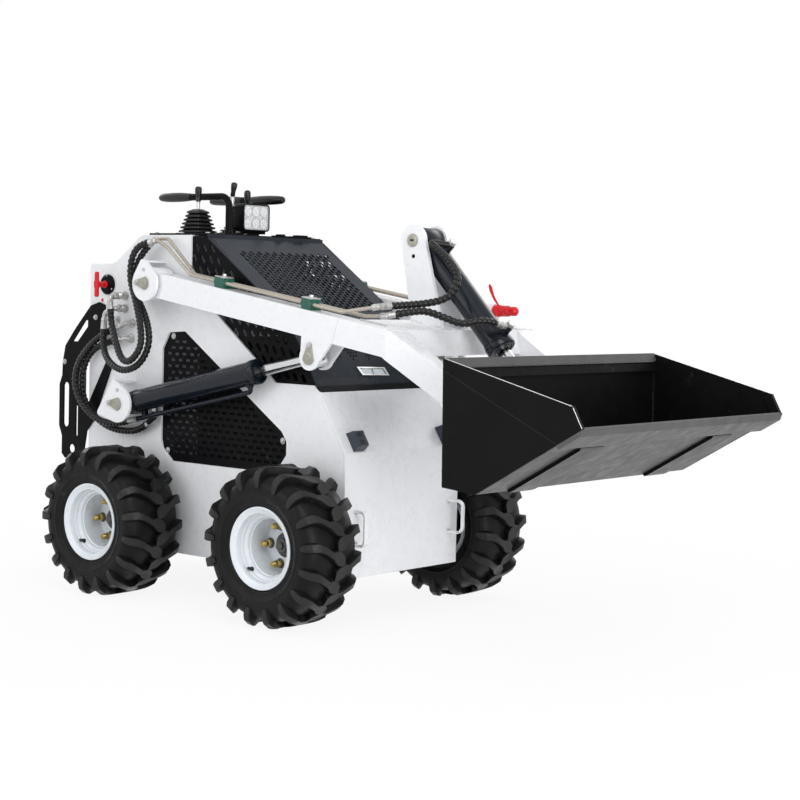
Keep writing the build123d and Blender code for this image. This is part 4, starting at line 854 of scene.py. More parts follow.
def hood_sheet():
    """Folded hood with its lattice grille above and small perforations on the steep face."""
    outline = [(1.5, -HOOD_HALF), (hood_end - 1, -HOOD_HALF), (hood_end - 1, HOOD_HALF),
               (1.5, HOOD_HALF)]
    holes = []
    for column in range(26):
        y = LATTICE_START[1] + LATTICE_STEP[1] * column
        for row in range(15):
            s = LATTICE_START[0] + LATTICE_STEP[0] * (row + (0.5 if column % 2 else 0))
            if all(inside((s + ds, y + dy), LATTICE) for ds in (-11, 11) for dy in (-7, 7)):
                holes.append(slot_outline((s, y), 20.5, 13.4))
    for row in range(4):    # the perforations stand in groups that narrow row by row
        for index in range(29):
            across = (index + (0.5 if row % 2 else 0)) * PERFORATION_STEP
            y = PERFORATION_START + across
            if row * 7 <= across % (6 * PERFORATION_STEP) <= 62 - row * 7 and y < 192:
                holes.append(slot_outline((STEEP_TOP + 8 + row * 10.4, y), 7.8, 7.6))
    creases = [((entry[0], -HOOD_HALF), (entry[0], HOOD_HALF)) for entry in hood_path[1:-1]]
    return sheet(outline, holes, on_hood, HOOD_SHEET, creases)


hood_sheet().make("hood_shell", "chassis", "hood_paint", "hood", 50)
trim = Shape().block((-102, -256, 1106), (-98, 256, 1116.4), 0.5)
trim.rings([[on_hood(hood_end + back, y, depth)
             for back, depth in ((-20, -1), (-1, -1), (-1, 5), (-20, 5))]
            for y in (-HOOD_HALF - 0.6, HOOD_HALF + 0.6)], finish=1)
for y, half in ((64, 20), (156, 46)):
    trim.block((-126, y - half, DECK_TOP), (-97, y + half, DECK_TOP + 4), finish=1)
    trim.block((-116, y - half * 0.5, DECK_TOP + 4), (-92, y + half * 0.5, DECK_TOP + 8), finish=1)
trim.make("hood_trim", "chassis", "hood_paint black_paint")


def flat_panel(name, side, outline, holes, node):
    """Sheet behind the side plate with slots in it."""
    def place(x, z, depth):
        return x, side * (INNER_Y - 0.2 - depth), z
    sheet(outline, holes, place, 3.6).make(name, "chassis", "black_paint", node)


def slots(centres, outline, margin, *size):
    """Slots at those centres that lie inside an outline by a margin."""
    angles = [k * math.pi / 4 for k in range(8)]
    return [slot_outline(centre, *size) for centre in centres
            if all(inside((centre[0] + margin * math.cos(a), centre[1] + margin * math.sin(a)),
                          outline) for a in angles)]


slanted, level = [], []     # centres of the side grille's and the window grille's slots
for row in range(-14, 30):
    for run in (SLANT_STEP * (index + (0.5 if row % 2 else 0)) for index in range(-14, 20)):
        slanted.append((run * SLANT.x - row * SLANT_ROW * SLANT.y,
                        860 + run * SLANT.y + row * SLANT_ROW * SLANT.x))
for row in range(22):
    level += [(LEVEL_START[0] + LEVEL_STEP * (index + row % 2 / 2),
               LEVEL_START[1] + LEVEL_ROW * row) for index in range(20)]
for side_name, side in SIDES.items():
    flat_panel(f"hood_side_grille_{side_name}", side, inset(GRILLE_SIDE[::-1], 1.2),
               slots(slanted, GRILLE_SIDE, 22, 28, 12.5, SLANT_ANGLE), "hood_side_panels")
    flat_panel(f"access_grille_{side_name}", side, inset(WINDOW[::-1], -11),
               slots(level, WINDOW[::-1], 20, 22, 8.4), "access_panels")
    fixings = Shape()
    for x, z in ((-249, 801), (-267, 445), (226, 510)):
        fixings.turned((x, side * INNER_Y, z), Y * side, [
            (-1, 9.5), (1, 9.5), (1.6, 8.2), (1.6, 6.8), (3.6, 6.2), (5, 4.4), (5.6, 2)])
    fixings.make(f"panel_screws_{side_name}", "chassis", "plated_steel")


# ---- CAD nodes that keep their shape
for names, finish, edges in (
        ("side_plates nose_plate rear_panel rear_cover grab_handles", "white_paint", 1.6),
        ("lift_arm_right lift_arm_left cross_member arm_brackets", "white_paint", 1.6),
        ("tilt_tower", "white_paint", 0.0), ("attach_plate", "slate_paint", 1.2),
        ("floor_plates step_lugs rear_step rear_guards console_plate", "black_paint", 1.2),
        # The stop blocks wear the slate paint made lighter, as painted light.
        ("stop_blocks", "lit_slate_paint", 1.2), ("engine_block wheel_motors", "cast_iron", 3.0),
        ("attach_pins", "zinc", 0.8), ("lift_rod_right lift_rod_left tilt_rod", "chrome", 0.8),
        ("cutting_edge", "worn_steel", 1.2)):
    dress(names, finish, edges)

# ---- body plates
REAR_X = -636.0             # outer face of the rear cover
DECK_BOLT_Y = 236.0

bolts, hole_shades, seams = Shape(), Shape(), Shape()
for side in (-1, 1):
    for x, z in ((-601, 849), (-752, 700), (-690, 400)):
        bolts.bolt((x, side * (BODY_Y + 6), z), Y * side, 6.5, 5)
    for x in (-350, -236, -122):
        bolts.turned((x, side * DECK_BOLT_Y, DECK_TOP), Z, [(0, 7), (1.2, 7), (3.4, 5), (4, 2)])
    for z in (170, 980, 560):
        bolts.bolt((REAR_X, side * DECK_BOLT_Y, z), -X, 6.5, 5)
    for z in (232, 321):
        bolts.turned((486, side * 213, z), X, [(0, 6), (1, 6), (4, 4), (4.4, 2)])
    # Painted shade: flat dark squares on each stop block stand for the shade inside its two square
    # holes.
    for distance in (22, 45):
        hole_shades.prism([on_line(NOSE_FOLD, NOSE_LIP, distance + along, -STOP_RISE - rise)
                       for along, rise in ((-7, -3), (7, -3), (7, 0.3), (-7, 0.3))],
                      side * 193, side * 212)
    seams.rod((REAR_X, side * 251.5, 1016), (-520, side * 251.5, 1018), 2.2, 8)
    seams.rod((474, side * 258, 130), (474, side * 258, 490), 2.4, 8)
bolts.make("body_bolts", "chassis", "plated_steel")
hole_shades.make("stop_hole_shades", "chassis", "black_rubber")
seams.make("body_welds", "chassis", "weld")

# ---- console and controls
boots = Shape()
for x, y, width, height, folds in ((-257, -150, 92, 78, 6), (-252, 5, 88, 34, 3)):
    profile = [(width / 2, 0), (width / 2, 3)]
    step = (height - 6) / folds
    for fold in range(folds):
        wide, low = width / 2 * (0.98 - 0.4 * fold / (folds - 1)), 3 + fold * step
        profile += [(wide * 0.8, low + step * 0.08), (wide, low + step * 0.22),
                    (wide, low + step * 0.62), (wide * 0.8, low + step * 0.86)]
    profile += [(wide * 0.66, height - 3), (12, height), (7, height)]
    boots.rings([rounded_square((x, y, DECK_TOP + z), X, Y, (half, half), half * 0.22)
                 for half, z in profile])
boots.block((-306, -199, DECK_TOP), (-208, -101, DECK_TOP + 3), finish=1)
boots.block((-302, -46, DECK_TOP), (-202, 56, DECK_TOP + 3), finish=1)
boots.make("pleated_boots", "chassis", "black_rubber black_paint", "lever_boots", 28)

# A lever's x and y, the heights of its stalk and knob, its lean, and the knob's profile: share
# of its length and radius.
LEVERS = [(-257, -150, 1226, 1268, 0, [(-0.12, 5), (-0.1, 8.4), (0, 8.6), (0.1, 6.2), (0.3, 8),
                                       (0.62, 11), (0.86, 11), (0.97, 8.6), (1, 4)]),
          (-233, -32, 1245, 1287, 8, [(-0.08, 5.6), (0, 7.6), (0.3, 7.4), (0.6, 9.6),
                                      (0.85, 10.6), (0.95, 8.6), (1, 4)]),
          (-233, 42, 1226, 1267, 0, [(-0.08, 5), (0, 7), (0.25, 9.4), (0.6, 11), (0.85, 10.6),
                                     (0.95, 8), (1, 3)])]
levers = Shape()
for x, y, low, high, lean, knob in LEVERS:
    end = Vector((x + lean, y, low))
    levers.rod((x + lean * 0.6, y, DECK_TOP + 30), end, 6, finish=1)
    way = Vector((x + 2 * lean, y, high)) - end
    levers.turned(end, way, [(share * way.length, radius) for share, radius in knob], 20)
levers.turned((-233, 42, 1196), Z, [(0, 4), (2, 8), (6, 10.4), (12, 10.4), (16, 8), (18, 4)],
              finish=2)
levers.make("lever_stalks", "chassis", "black_rubber plated_steel white_paint",
            "control_levers", 45)

GRIP_Z, BAR_RADIUS, BAR_BEND = 1238.0, 11.0, 34.0
POSTS = ((-160, -110), (-262, 110))
GRIP = [(0, 8), (0.02, 11.6), (0.12, 13), (0.35, 14.8), (0.6, 15), (0.82, 13.8), (0.94, 12),
        (0.985, 9.4), (1, 5)]   # share of a grip's length and radius
bars = Shape()
(x, y), corner = POSTS[0], GRIP_Z - BAR_BEND
path = [Vector(point) for point in (
    (x, y, DECK_TOP), (x, y, corner),
    *((x - BAR_BEND * (1 - math.cos(a)), y, corner + BAR_BEND * math.sin(a))
      for a in (math.radians(15 * k) for k in range(1, 7))), (-330, y, GRIP_Z))]
bars.rings([circle(point, Y, (after - before).normalized().cross(Y), BAR_RADIUS, ROUND)
            for before, point, after in zip(path[:1] + path, path, path[1:] + path[-1:])])
bars.rod((*POSTS[1], DECK_TOP), (*POSTS[1], GRIP_Z), BAR_RADIUS)
for post in POSTS:
    bars.turned((*post, DECK_TOP), Z, [(0, 21), (3, 21), (4, 19), (4, 14), (12, 12.4), (12, 11)])
for root, tip, y in ((-330, -475, -110), (-290, -136, 110), (-316, -470, 110)):
    bars.turned((root, y, GRIP_Z), X * (tip - root),
                [(share * abs(tip - root), radius) for share, radius in GRIP], finish=1)
bars.rod((-280, 110, GRIP_Z), (-330, 110, GRIP_Z), 12)
bars.make("grips_and_posts", "chassis", "black_paint black_rubber", "handlebars", 40)

LAMP_MIDDLE, LAMP_HALF, LAMP_CORNER = (2.0, 1177.0), (59.0, 43.0), 13.0
REFLECTOR_ZS, REFLECTOR_YS = (1158, 1196), (-33, 2, 37)


def lamp_ring(x, shrink):
    """Outline of the work lamp's housing at x, drawn in by a distance."""
    return rounded_square((x, *LAMP_MIDDLE), Y, Z, [half - shrink for half in LAMP_HALF],
                          LAMP_CORNER - shrink)


lamp = Shape().rings([lamp_ring(x, shrink) for x, shrink in (
    (-200, 10.0), (-196, 3), (-190, 1), (-156, 1), (-155, 0), (-150, 0), (-149, 1.4), (-149, 4.4),
    (-154, 5), (-156, 6))])
for k in range(11):
    lamp.block((-206, -50 + k * 10, 1142), (-197, -46.4 + k * 10, 1212))
    lamp.block((-196, -48 + k * 9.6, 1126), (-158, -44.8 + k * 9.6, 1136))
lamp.rings([lamp_ring(x, 6.4) for x in (-157, -155.4)], finish=4)
for z in REFLECTOR_ZS:
    for y in REFLECTOR_YS:
        for x, finish, profile in (
                (-155.6, 0, [(0, 17.6), (2.6, 17.6), (3, 17), (3, 16), (1, 15.6)]),
                (-155.4, 1, [(0, 15.8), (2.4, 15.8), (1.6, 11), (1.2, 6)]),
                (-154.6, 2, [(0, 5), (1.4, 5), (2.2, 3.4), (2.4, 1)])):
            lamp.turned((x, y, z), X, profile, finish=finish)
lamp.block((-190, -20, DECK_TOP), (-162, 24, 1134))
lamp.bolt((-176, -20, 1127), -Y, 6, 5, finish=3)
lamp.rod((-176, -24, 1129), (-176, -60, 1129), 4, finish=3)
lamp.make("work_lamp", "chassis", "black_paint reflector bare_edge plated_steel wheel_white",
          "lamps")
Shape().rings([lamp_ring(x, 4.6) for x in (-151.6, -150.4)]).make(
    "work_lamp_lens", "chassis", "lamp")


def beside(line, distance, offset=0.0, y=0.0):
    """Point at a distance along a line in (x, z), moved by offset to its left."""
    x, z = on_line(*line, distance, offset)
    return Vector((x, y, z))


# The marker lamp's rim, hollow and two cells: distance down the hood's steep face, and y.
STEEP = HOOD_LINE[2:4]
MARKER_RIM = [(73, -64), (101, -52), (105, 68), (77, 60)]
MARKER_HOLLOW = [(78, -54), (97, -45), (100, 59), (81, 53)]
CELLS = [[(79, -50), (96, -42), (97.6, 0), (80.2, 0)], [(80.4, 7), (97.8, 7), (99, 55), (82, 50)]]


def marker_ring(outline, rise):
    """Outline on the hood's steep face, lifted off it."""
    return [beside(STEEP, s, rise, y) for s, y in outline]


marker = Shape().rings([marker_ring(MARKER_RIM, -0.5), marker_ring(MARKER_RIM, 7.5),
                        marker_ring(MARKER_HOLLOW, 7.5), marker_ring(MARKER_HOLLOW, 0.5)],
                       caps=False)
marker.add(marker_ring(MARKER_HOLLOW, 0.5), [[0, 1, 2, 3]], 1)
for cell in CELLS:
    marker.rings([marker_ring(cell, rise) for rise in (0, 5)], finish=2)
marker.make("marker_lamp", "chassis", "reflector black_paint wheel_white")


# ---- pins and their keepers
KEEPER_THICK = 5.0
TOWER_INNER_Y, TOWER_OUTER_Y = 45.0, 58.0   # faces of the tilt tower's two cheeks


def arc(centre, radius, start, end, steps):
    """Points round a centre from one angle to another."""
    return [(centre[0] + radius * math.cos(a), centre[1] + radius * math.sin(a))
            for a in (start + (end - start) * k / steps for k in range(steps + 1))]


def keeper(shape, place, y, side, reach):
    """Drop-shaped keeper plate over a pin's end, held by one bolt on its tail at reach."""
    tail = place[0] + reach[0], place[1] + reach[1]
    away, spread = math.atan2(reach[1], reach[0]), math.pi / 2 + 0.25
    face = side * (y + KEEPER_THICK)
    shape.prism(arc(place, 21, away + spread, away - spread + 2 * math.pi, 16)
                + arc(tail, 9, away - spread, away + spread, 8), side * y, face, chamfer=0.9)
    shape.turned((place[0], face, place[1]), Y * side, [
        (-1, 14.5), (0.8, 14), (1.4, 12.5), (1.4, 6), (0.4, 5), (0.4, 1)])
    shape.bolt((tail[0], face, tail[1]), Y * side, 6.6, 4.6, finish=1)


def pin(shape, place, low, high, radius=PIN_RADIUS):
    """Pin through (x, z) between two values of y."""
    shape.rod((place[0], low, place[1]), (place[0], high, place[1]), radius)


for side_name, side in SIDES.items():
    fixed, moving = Shape(), Shape()
    for place in (PIVOT, CYLINDER_REAR):
        keeper(fixed, place, BRACKET_Y, side, (-32, 2))
    for place in (PIVOT, CYLINDER_REAR):
        pin(fixed, place, side * INNER_Y, side * BRACKET_Y)
    for place, dx, dz in ((PIVOT, -2, 42), (CYLINDER_REAR, 3, 44)):
        fixed.bolt((place[0] + dx, side * BRACKET_Y, place[1] + dz), Y * side, 5.5, 4,
                   washer=False, finish=1)
    fixed.make(f"body_pins_{side_name}", "chassis", "zinc plated_steel", "chassis_pins")
    keeper(moving, CYLINDER_FRONT, ARM_OUTER_Y, side, (3, 34))
    pin(moving, CYLINDER_FRONT, side * (ARM_OUTER_Y - 10), side * ARM_OUTER_Y)
    pin(moving, CYLINDER_FRONT, side * ARM_INNER_Y, side * (ARM_INNER_Y + 10))
    moving.make(f"arm_pins_{side_name}", "arm", "zinc plated_steel", "arm_pins")

tower, arm_welds = Shape(), Shape()
x, z = TOWER_PIN
for side in (-1, 1):
    pin(tower, TOWER_PIN, side * TOWER_INNER_Y, side * TOWER_OUTER_Y)
    tower.turned((x, side * (TOWER_OUTER_Y - 1), z), Y * side, [
        (0, 18), (1, 18.8), (4, 18.8), (5, 17.4), (5, 14), (6, 13), (6, 8), (4.6, 6), (4.6, 1)])
    tower.turned((x + 3, side * (TOWER_OUTER_Y - 2), z - 46), Y * side, [
        (0, 6), (1.3, 6), (1.6, 5), (1.3, 4)], 16, finish=2)
    tower.block((x - 7, side * 62, z - 2.4), (x + 7, side * 63.2, z + 2.4), 0.3, 2)
    arm_welds.weld([(512, side * 333.6, over_beam(512)[1] - 2),
                    (486, side * 333.6, over_beam(486)[1] - 76)], 2.4)
    for ends, radius in ((((691, 333.4, 0.4), (691, 268, 0.4)), 2.6),
                         (((532, 267.5, 0.6), (688, 267.5, 0.6)), 3),
                         (((542.5, 58, 1.5), (585.5, 58, 1.5)), 3),
                         (((630, 58, 1.5), (654, 58, 1.5)), 3)):
        arm_welds.weld([(on_x, side * y, over_beam(on_x)[1] + rise) for on_x, y, rise in ends],
                       radius)
pin(tower, TOWER_PIN, -TOWER_INNER_Y, TOWER_INNER_Y, PIN_RADIUS - 0.1)
tower.make("tower_pin", "arm", "zinc plated_steel black_paint", "arm_pins")
arm_welds.make("arm_welds", "arm", "weld")

# ---- hydraulic cylinders
LIFT, LIFT_RADIUS = (CYLINDER_REAR, CYLINDER_FRONT), 35.0
TILT, TILT_RADIUS = (TOWER_PIN, TILT_ROD_PIN), 38.0
GLAND_LENGTH = 28.0
PIPE_OUT = -54.0            # how far the lift cylinder's pipe lies off its axis
PORT_OUT = 59.0             # the same of the tilt cylinder's ports


def barrel(shape, line, y, sections, gland, gland_end):
    """Barrel from sections along its line, with a gland whose wiper is set into its face."""
    axis = beside(line, 1) - beside(line, 0)
    foot = sections[0][0]
    shape.turned(beside(line, foot, 0, y), axis,
                 [(distance - foot, radius) for distance, radius in sections], 64)
    shape.turned(beside(line, gland_end - GLAND_LENGTH, 0, y), axis, [
        (0, gland - 3), (1.5, gland - 0.8), (4, gland), (23, gland), (26, gland - 1.2),
        (27.6, gland - 4), (27.6, gland * 0.74), (25, gland * 0.72), (25, gland * 0.6),
        (GLAND_LENGTH, gland * 0.56), (GLAND_LENGTH, gland * 0.5)], 48)
    return axis


def eye(shape, place, y, width, radius):
    """Barrel's eye round its pin."""
    shape.turned((place[0], y - width / 2, place[1]), Y, [
        (0, PIN_RADIUS + 0.1), (0, radius - 1), (1.5, radius), (width - 1.5, radius),
        (width, radius - 1), (width, PIN_RADIUS + 0.1)], 48, closed=True)


def ribs(first, second, radius, rise):
    """Sections of a barrel's raised band between two distances."""
    return [(first, radius), (first + 1, radius + rise), (second - 1, radius + rise),
            (second, radius)]


for side_name, side in SIDES.items():
    y, cylinder = side * CYLINDER_Y, Shape()
    axis = barrel(cylinder, LIFT, y, [
        (21, 24), (25, 33), (29, LIFT_RADIUS), *ribs(47, 53, LIFT_RADIUS, 1.2),
        (549, LIFT_RADIUS), (550, LIFT_RADIUS + 1.4), (555, LIFT_RADIUS + 1.4), (555, 20)],
        38.0, 583)
    eye(cylinder, CYLINDER_REAR, y, 73, LIFT_RADIUS)
    start, elbow, end = (beside(LIFT, distance, offset, y)
                         for distance, offset in ((28, PIPE_OUT), (539, PIPE_OUT), (539, -30)))
    cylinder.tube([start, elbow, end], 7.5, [16])
    cylinder.turned(end, elbow - end, [(-3, 13), (4, 13), (5, 11.4), (10, 11.4), (11, 8)])
    cylinder.ferrule(beside(LIFT, -10, PIPE_OUT, y), axis, 26, 9.6, finish=1)
    cylinder.nut(beside(LIFT, 16, PIPE_OUT, y), axis, 15, 11, finish=1)
    cylinder.prism([on_line(*LIFT, distance, offset) for distance, offset in
                    ((63, -30), (77, -30), (77, -58), (63, -58))], y - 8.6, y + 8.6, chamfer=1)
    mouth, port, bend, neck, seat = (
        beside(LIFT, distance, offset, side * out) for distance, offset, out in (
            (46, -76, 286), (58, -71, 286), (90, -59, 286), (100, -39, 290), (106, -26, 292)))
    cylinder.tube([port, bend, seat], 8.6, [12])
    cylinder.ferrule(mouth, port - mouth, 16, 9.6, finish=1)
    cylinder.turned(neck, seat - neck, [(0, 10), (0, 12), (12, 12), (13, 11)], 6, finish=1)
    cylinder.make(f"lift_cylinder_{side_name}", f"lift_barrel_{side_name}_body",
                  "slate_paint plated_steel", f"lift_barrel_{side_name}", 40)

tilt = Shape()
barrel(tilt, TILT, 0, [
    (24, 26), (28, 36), (32, TILT_RADIUS), *ribs(44, 51, TILT_RADIUS, 1.2), (386, TILT_RADIUS),
    (387, TILT_RADIUS + 2), (394, TILT_RADIUS + 2), (394, 22)], 43.0, 423)
eye(tilt, TOWER_PIN, 0, 87, TILT_RADIUS)
for distance in (72, 386):
    port_axis = beside(TILT, distance, 60) - beside(TILT, distance, PORT_OUT)
    tilt.turned(beside(TILT, distance, 30), port_axis, [(0, 15), (9, 15), (10, 13.5), (18, 13.5)])
    tilt.turned(beside(TILT, distance, 48), port_axis, [(0, 12.4), (1, 13.4), (14, 13.4),
                                                        (15, 12)])
    tilt.nut(beside(TILT, distance, 63), port_axis, 12, 13.2, finish=1, turn=0.4)
upper_end, upper_neck = Vector((630, -60, 1084)), Vector((610, -57.6, 1096))
tilt.tube([beside(TILT, 72, PORT_OUT, -8), (604, -57, 1100), upper_end], 8.8, [13], finish=2)
tilt.turned(upper_neck, upper_end - upper_neck, [(0, 9), (1, 10.4), (22, 10.4), (24, 9)], finish=2)
lower_start, lower_end = beside(TILT, 386, PORT_OUT), beside(TILT, 372, PORT_OUT, -46)
tilt.tube([lower_start, lower_end], 8.4, finish=1)
tilt.turned(beside(TILT, 383, PORT_OUT, -14), lower_end - lower_start, [
    (0, 9.6), (1, 11), (12, 11), (13, 9.8), (29, 9.8), (30, 8.6)], finish=1)
tilt.make("tilt_cylinder", "tilt_barrel_body", "slate_paint plated_steel black_rubber",
          "tilt_barrel", 40)

# ---- bulkhead fittings, pipes, clamps
# Route from the side plate to where a hose starts, radii of its bends, length of its stub.
FITTINGS = [
    ([(-466, 20, 921), (-466, 64, 921), (-462, 65, 880)], [16], 50),
    ([(-466, 16, 881), (-466, 44, 881), (-513.5, 44, 866), (-515, 46, 816)], [14, 18], 30),
    ([(-430, 10, 835), (-430, 28, 835), (-486, 24, 818)], [12], 16),
    ([(-434, 10, 787), (-434, 27, 787), (-488, 23, 778)], [12], 15)]
PIPE_RADIUS, PIPE_BEND, PIPE_LIFT = 5.4, 25.0, 16.0
PIPE_YS = (314, 288)        # outer and inner pipe of an arm
PIPE_STARTS = [[(-297, -315, 1088), (-261, -312.4, 1093.3), (-214, -314, 1072)],
               [(-322, -291, 1080), (-300, -288.8, 1099), (-240, -288, 1100)]]
PIPE_FIRST = (-112, -118)   # where each pipe's straight run above the beam starts
PIPE_RUN_END = {"right": (505, 570), "left": (440, 420)}
PIPE_ENDS = {"right": [[(642, -314, 914), (650, -280, 916)], [(638, -288, 888), (656, -267, 893)]],
             "left": [[(540, -290, 905), (595, -200, 906), (622, -200, 906)],
                      [(510, -262, 903), (575, -135, 906), (622, -135, 906)]]}
BEAM_WAY = Vector((math.cos(BEAM_SLOPE), 0, -math.sin(BEAM_SLOPE)))
BEAM_UP = Vector((math.sin(BEAM_SLOPE), 0, math.cos(BEAM_SLOPE)))

for side_name, side in SIDES.items():
    unions, out = Shape(), Y * side
    for route, bends, reach in FITTINGS:
        points = [Vector(point) for point in beside_body(route, side)]
        foot = Vector((points[0].x, side * BODY_Y, points[0].z))
        unions.turned(foot, out, [(0, 15), (2, 15), (2.6, 13)])
        unions.nut(foot + out * 2.5, out, min(reach * 0.42, 11), 12.6, turn=0.2)
        if reach > 20:
            unions.turned(foot, out, [(2.6 + reach * 0.42 + step, 11.6 if step % 2 else 10.8)
                                      for step in range(int(reach * 0.3))])
            unions.nut(foot + out * (reach * 0.76 + 2), out, reach * 0.26, 12.4, turn=0.5)
        unions.tube(points, 7.6, bends)
        way = points[-1] - points[-2]
        length, way = min(way.length * 0.55, 24), way.normalized()
        unions.ferrule(points[-1] - way * length, way, length + 2, 10.2)
        unions.nut(points[-1] - way * (length + 9), way, 9, 10.6, turn=0.3)
    unions.turned((-500, side * BODY_Y, 845), out, [(0, 11), (3, 11), (3.6, 9.6), (3.6, 5), (9, 5),
                                                    (9.6, 3)])
    unions.make(f"hose_unions_{side_name}", "chassis", "plated_steel", "bulkhead_fittings", 38)

for side_name, side in SIDES.items():
    pipes = Shape()
    for y, start, first, last, end in zip(PIPE_YS, PIPE_STARTS, PIPE_FIRST,
                                          PIPE_RUN_END[side_name], PIPE_ENDS[side_name]):
        run = [(x, -y, over_beam(x, PIPE_LIFT)[1]) for x in (first, last)]
        points = [Vector(point) for point in start + run + end]
        pipes.tube(points, PIPE_RADIUS, [PIPE_BEND] * (len(points) - 2))
        ends = [(points[0], points[1]), (points[-1], points[-2])]
        for place, following in ends if side < 0 else ends[:1]:
            way = (following - place).normalized()
            pipes.ferrule(place - way * 2, way, 20, 10.2, finish=1)
            pipes.nut(place + way * 18, way, 12, 10.4, finish=1, turn=0.3)
        if side < 0:
            way = (points[-2] - points[-3]).normalized()
            middle = points[-3].lerp(points[-2], 0.82)
            pipes.nut(middle, way, 16, 10.2, finish=1, turn=0.2)
            pipes.turned(middle + way * 16, way, [(0, 8.8), (10, 8.8), (11, 7)], finish=1)
    if side > 0:
        pipes.mirror()
    pipes.make(f"steel_pipes_{side_name}", "arm", "pipe_steel plated_steel", "arm_pipes", 42)

    clamps = Shape()
    for low, high in ((2, 39), (356, 391)):
        body, strap = ([over_beam(low, foot), over_beam(high, foot), over_beam(high, top),
                        over_beam(low, top)] for foot, top in ((0, 30), (30.4, 33.4)))
        clamps.prism(body, side * 276, side * 326, chamfer=2)
        for y in PIPE_YS[::-1]:
            for x, way in ((low, -BEAM_WAY), (high, BEAM_WAY)):
                place = Vector((x, side * y, over_beam(x, PIPE_LIFT)[1]))
                clamps.turned(place - way * 3, way, [(0, 11), (5.4, 11), (6.4, 9.4), (6.4, 7)])
        clamps.prism(strap, side * 279, side * 323, 1, chamfer=0.5)
        x, z = over_beam((low + high) / 2, 33)
        clamps.bolt((x, side * 301, z), BEAM_UP, 6.4, 6, finish=1)
    clamps.make(f"pipe_clips_{side_name}", "arm", "green_plastic plated_steel", "pipe_clamps")

COUPLING_YS, COUPLING_Z = (135, 200), 906
CAP_Y = COUPLING_YS[1]      # the outer coupling wears a cap
coupler = Shape().prism([(640, 857.5), (648, 857), (648, 926), (640, 926)], 109, 226, 1, chamfer=1)
for y in COUPLING_YS:
    coupler.nut((624, y, COUPLING_Z), X, 14, 13)
    coupler.turned((636, y, COUPLING_Z), X, [
        (0, 12), (2, 13.4), (10, 13.4), (11, 11.6), (19, 11.6), (20, 13), (29, 13), (30, 11.8),
        (37, 11.4), (38, 8), (30, 6)])
CAP_RIBS = [(start + step, radius) for start in range(4, 40, 6)
            for step, radius in ((0, 16.4), (3.4, 16.4), (4.4, 15.2), (5.6, 15.2))]
coupler.turned((648, CAP_Y, COUPLING_Z), X, [
    (2, 15), *CAP_RIBS, (42, 16.4), (56, 15.6), (58, 12.4), (66, 12), (67, 14), (80, 13.4),
    (82, 10), (86, 6)], 12, finish=2)
coupler.tube([(668, 199, 918), (650, 196, 940), (636, 194, 966), (632, 193, 984), (640, 193, 976),
              (648, 195, 950), (662, 198, 926)], 2.6, [9] * 5, finish=2)
coupler.turned((660, CAP_Y, COUPLING_Z), X, [(0, 16.4), (1, 18), (9, 18), (10, 16.4)], finish=2)
coupler.make("quick_couplers", "arm", "plated_steel white_paint red_plastic", "aux_coupler", 36)

SWITCH = Vector((-549, -BODY_Y, 955))
QUARTER = [(9, 7), (6, 15), (6.6, 30), (5.6, 37), (3, 40)]  # a quarter of the switch's handle
switch = Shape().turned(SWITCH, -Y, [(0, 32), (6, 32), (7, 30), (8, 27.5), (12, 26), (14, 24),
                                     (14, 14), (13, 11)], 40)
for place in circle(SWITCH - Y * 7, Z, -X, 27, 3):
    switch.turned(place, -Y, [(0, 3.4), (1.6, 3.4), (2.4, 2)], 12, finish=2)
switch.turned(SWITCH - Y * 13, -Y, [(0, 12), (3, 12), (5, 9), (27, 9)], finish=1)
switch.prism([(SWITCH.x + sx * dx, SWITCH.z + sz * dz)
              for sx, sz in ((1, 1), (-1, 1), (-1, -1), (1, -1))
              for dx, dz in (QUARTER if sx == sz else QUARTER[::-1])], -315, -301, 1, chamfer=3)
switch.make("cut_off_switch", "chassis", "black_paint red_plastic plated_steel", "battery_switch")
MARKER = Vector((-575, -BODY_Y, 905))
dots = Shape().turned(MARKER, -Y, [(0, 10), (1, 10), (1.4, 9)])
dots.turned(MARKER - Y, -Y, [(0, 6), (0.8, 6), (1, 5)], finish=1)
dots.make("switch_marker", "chassis", "white_paint red_plastic")

# ---- bucket
BACK_TOP, BACK_BOTTOM = (1017.0, 792.0), (1023.0, 463.0)
HEEL, TIP, FRONT_TOP = (1130.0, 454.0), (1446.0, 639.0), (1416.0, 693.0)
LIP_TOP, LIP_WELD, LIP_FOOT = (1024.0, 791.6), (1032.0, 767.0), (1037.0, 741.5)
SHELL = [TIP, HEEL, BACK_BOTTOM, BACK_TOP]
BUCKET_Y, SIDE_THICK, SHELL_THICK = 501.0, 8.0, 6.0
INSIDE_Y = BUCKET_Y - SIDE_THICK
STRIP_YS = (270, 374)      # edges of a skid strip


def inward(line, thickness):
    """Points a thickness to the right of a line of points in (x, z)."""
    ways = [(Vector(b) - Vector(a)).normalized() for a, b in zip(line, line[1:])]
    far = []
    for point, before, after in zip(line, ways[:1] + ways, ways + ways[-1:]):
        mean = Vector((before.y + after.y, -before.x - after.x)) / 2
        mean = mean / mean.length_squared * thickness
        far.append((point[0] + mean.x, point[1] + mean.y))
    return far


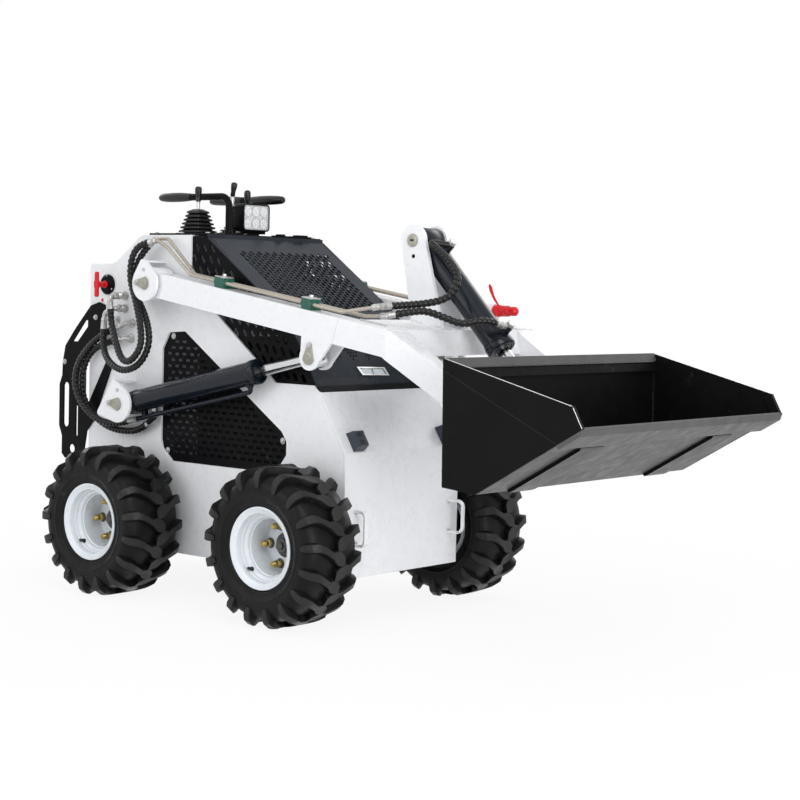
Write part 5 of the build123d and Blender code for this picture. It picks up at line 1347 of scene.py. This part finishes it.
inner = inward(SHELL, SHELL_THICK)
bucket, strips, seams = Shape(), Shape(), Shape()
for side in (-1, 1):
    bucket.prism([BACK_TOP, FRONT_TOP, TIP, HEEL, BACK_BOTTOM], side * INSIDE_Y, side * BUCKET_Y,
                 chamfer=0.9)
    # Pale strips along each side plate's top and front edges: worn bare steel and a painted
    # highlight.
    for start, end, width in ((BACK_TOP, FRONT_TOP, 5.4), (FRONT_TOP, TIP, 2.6)):
        middle = side * (INSIDE_Y + SIDE_THICK / 2 + (6 - width) / 2)
        far = math.dist(start, end) - 3
        bucket.prism([on_line(start, end, distance, rise) for distance, rise in
                      ((3, -0.4), (far, -0.4), (far, 0.3), (3, 0.3))],
                     middle - width / 2, middle + width / 2, finish=2)
    bucket.prism([(1019, 762), (1375, 599), (1375, 597.8), (1019, 760.8)], side * BUCKET_Y,
                 side * (BUCKET_Y + 0.25), finish=3)
for quad, finish in (*(((SHELL[k], SHELL[k + 1], inner[k + 1], inner[k]), int(k == 0))
                       for k in range(3)),
                     ((LIP_TOP, LIP_WELD, (1029, 767), (1017.4, 784)), 1),
                     ((LIP_WELD, LIP_FOOT, (1033, 741.5), (1029, 767)), 0),
                     (((1017, 791.4), (1023.4, 791.4), (1023.4, 792.3), (1017, 792.3)), 1)):
    bucket.prism(quad, -INSIDE_Y, INSIDE_Y, finish)
for side in (-1, 1):
    bucket.prism([on_line(FRONT_TOP, TIP, distance, offset) for distance, offset in
                  ((-2, 0), (60, 0), (60, -26), (-2, -26))],
                 side * INSIDE_Y, side * (INSIDE_Y - 7), chamfer=1)
    strips.prism([on_line(TIP, HEEL, distance, drop) for distance, drop in (
        (104, 0), (358, 0), (358, 8), (346, 10), (110, 10), (104, 6))],
        *(side * y for y in STRIP_YS), finish=1, edge_finish=0)
    seams.weld([(x, side * (INSIDE_Y - 1), z) for x, z in (
        *inner[:3], (inner[3][0], inner[3][1] - 14))], 5.6)
for (x, z), radius in ((LIP_WELD, 3.4), ((inner[1][0] - 6, inner[1][1] + 2), 3.0)):
    seams.weld([(x, -INSIDE_Y, z), (x, INSIDE_Y, z)], radius)
bucket.make("bucket_shell", "attachment", "bucket_black worn_steel bare_edge cast_iron", "bucket",
            25)
strips.make("skid_runners", "attachment", "worn_steel black_paint", "skid_strips")
seams.make("bucket_welds", "attachment", "burnt_weld")
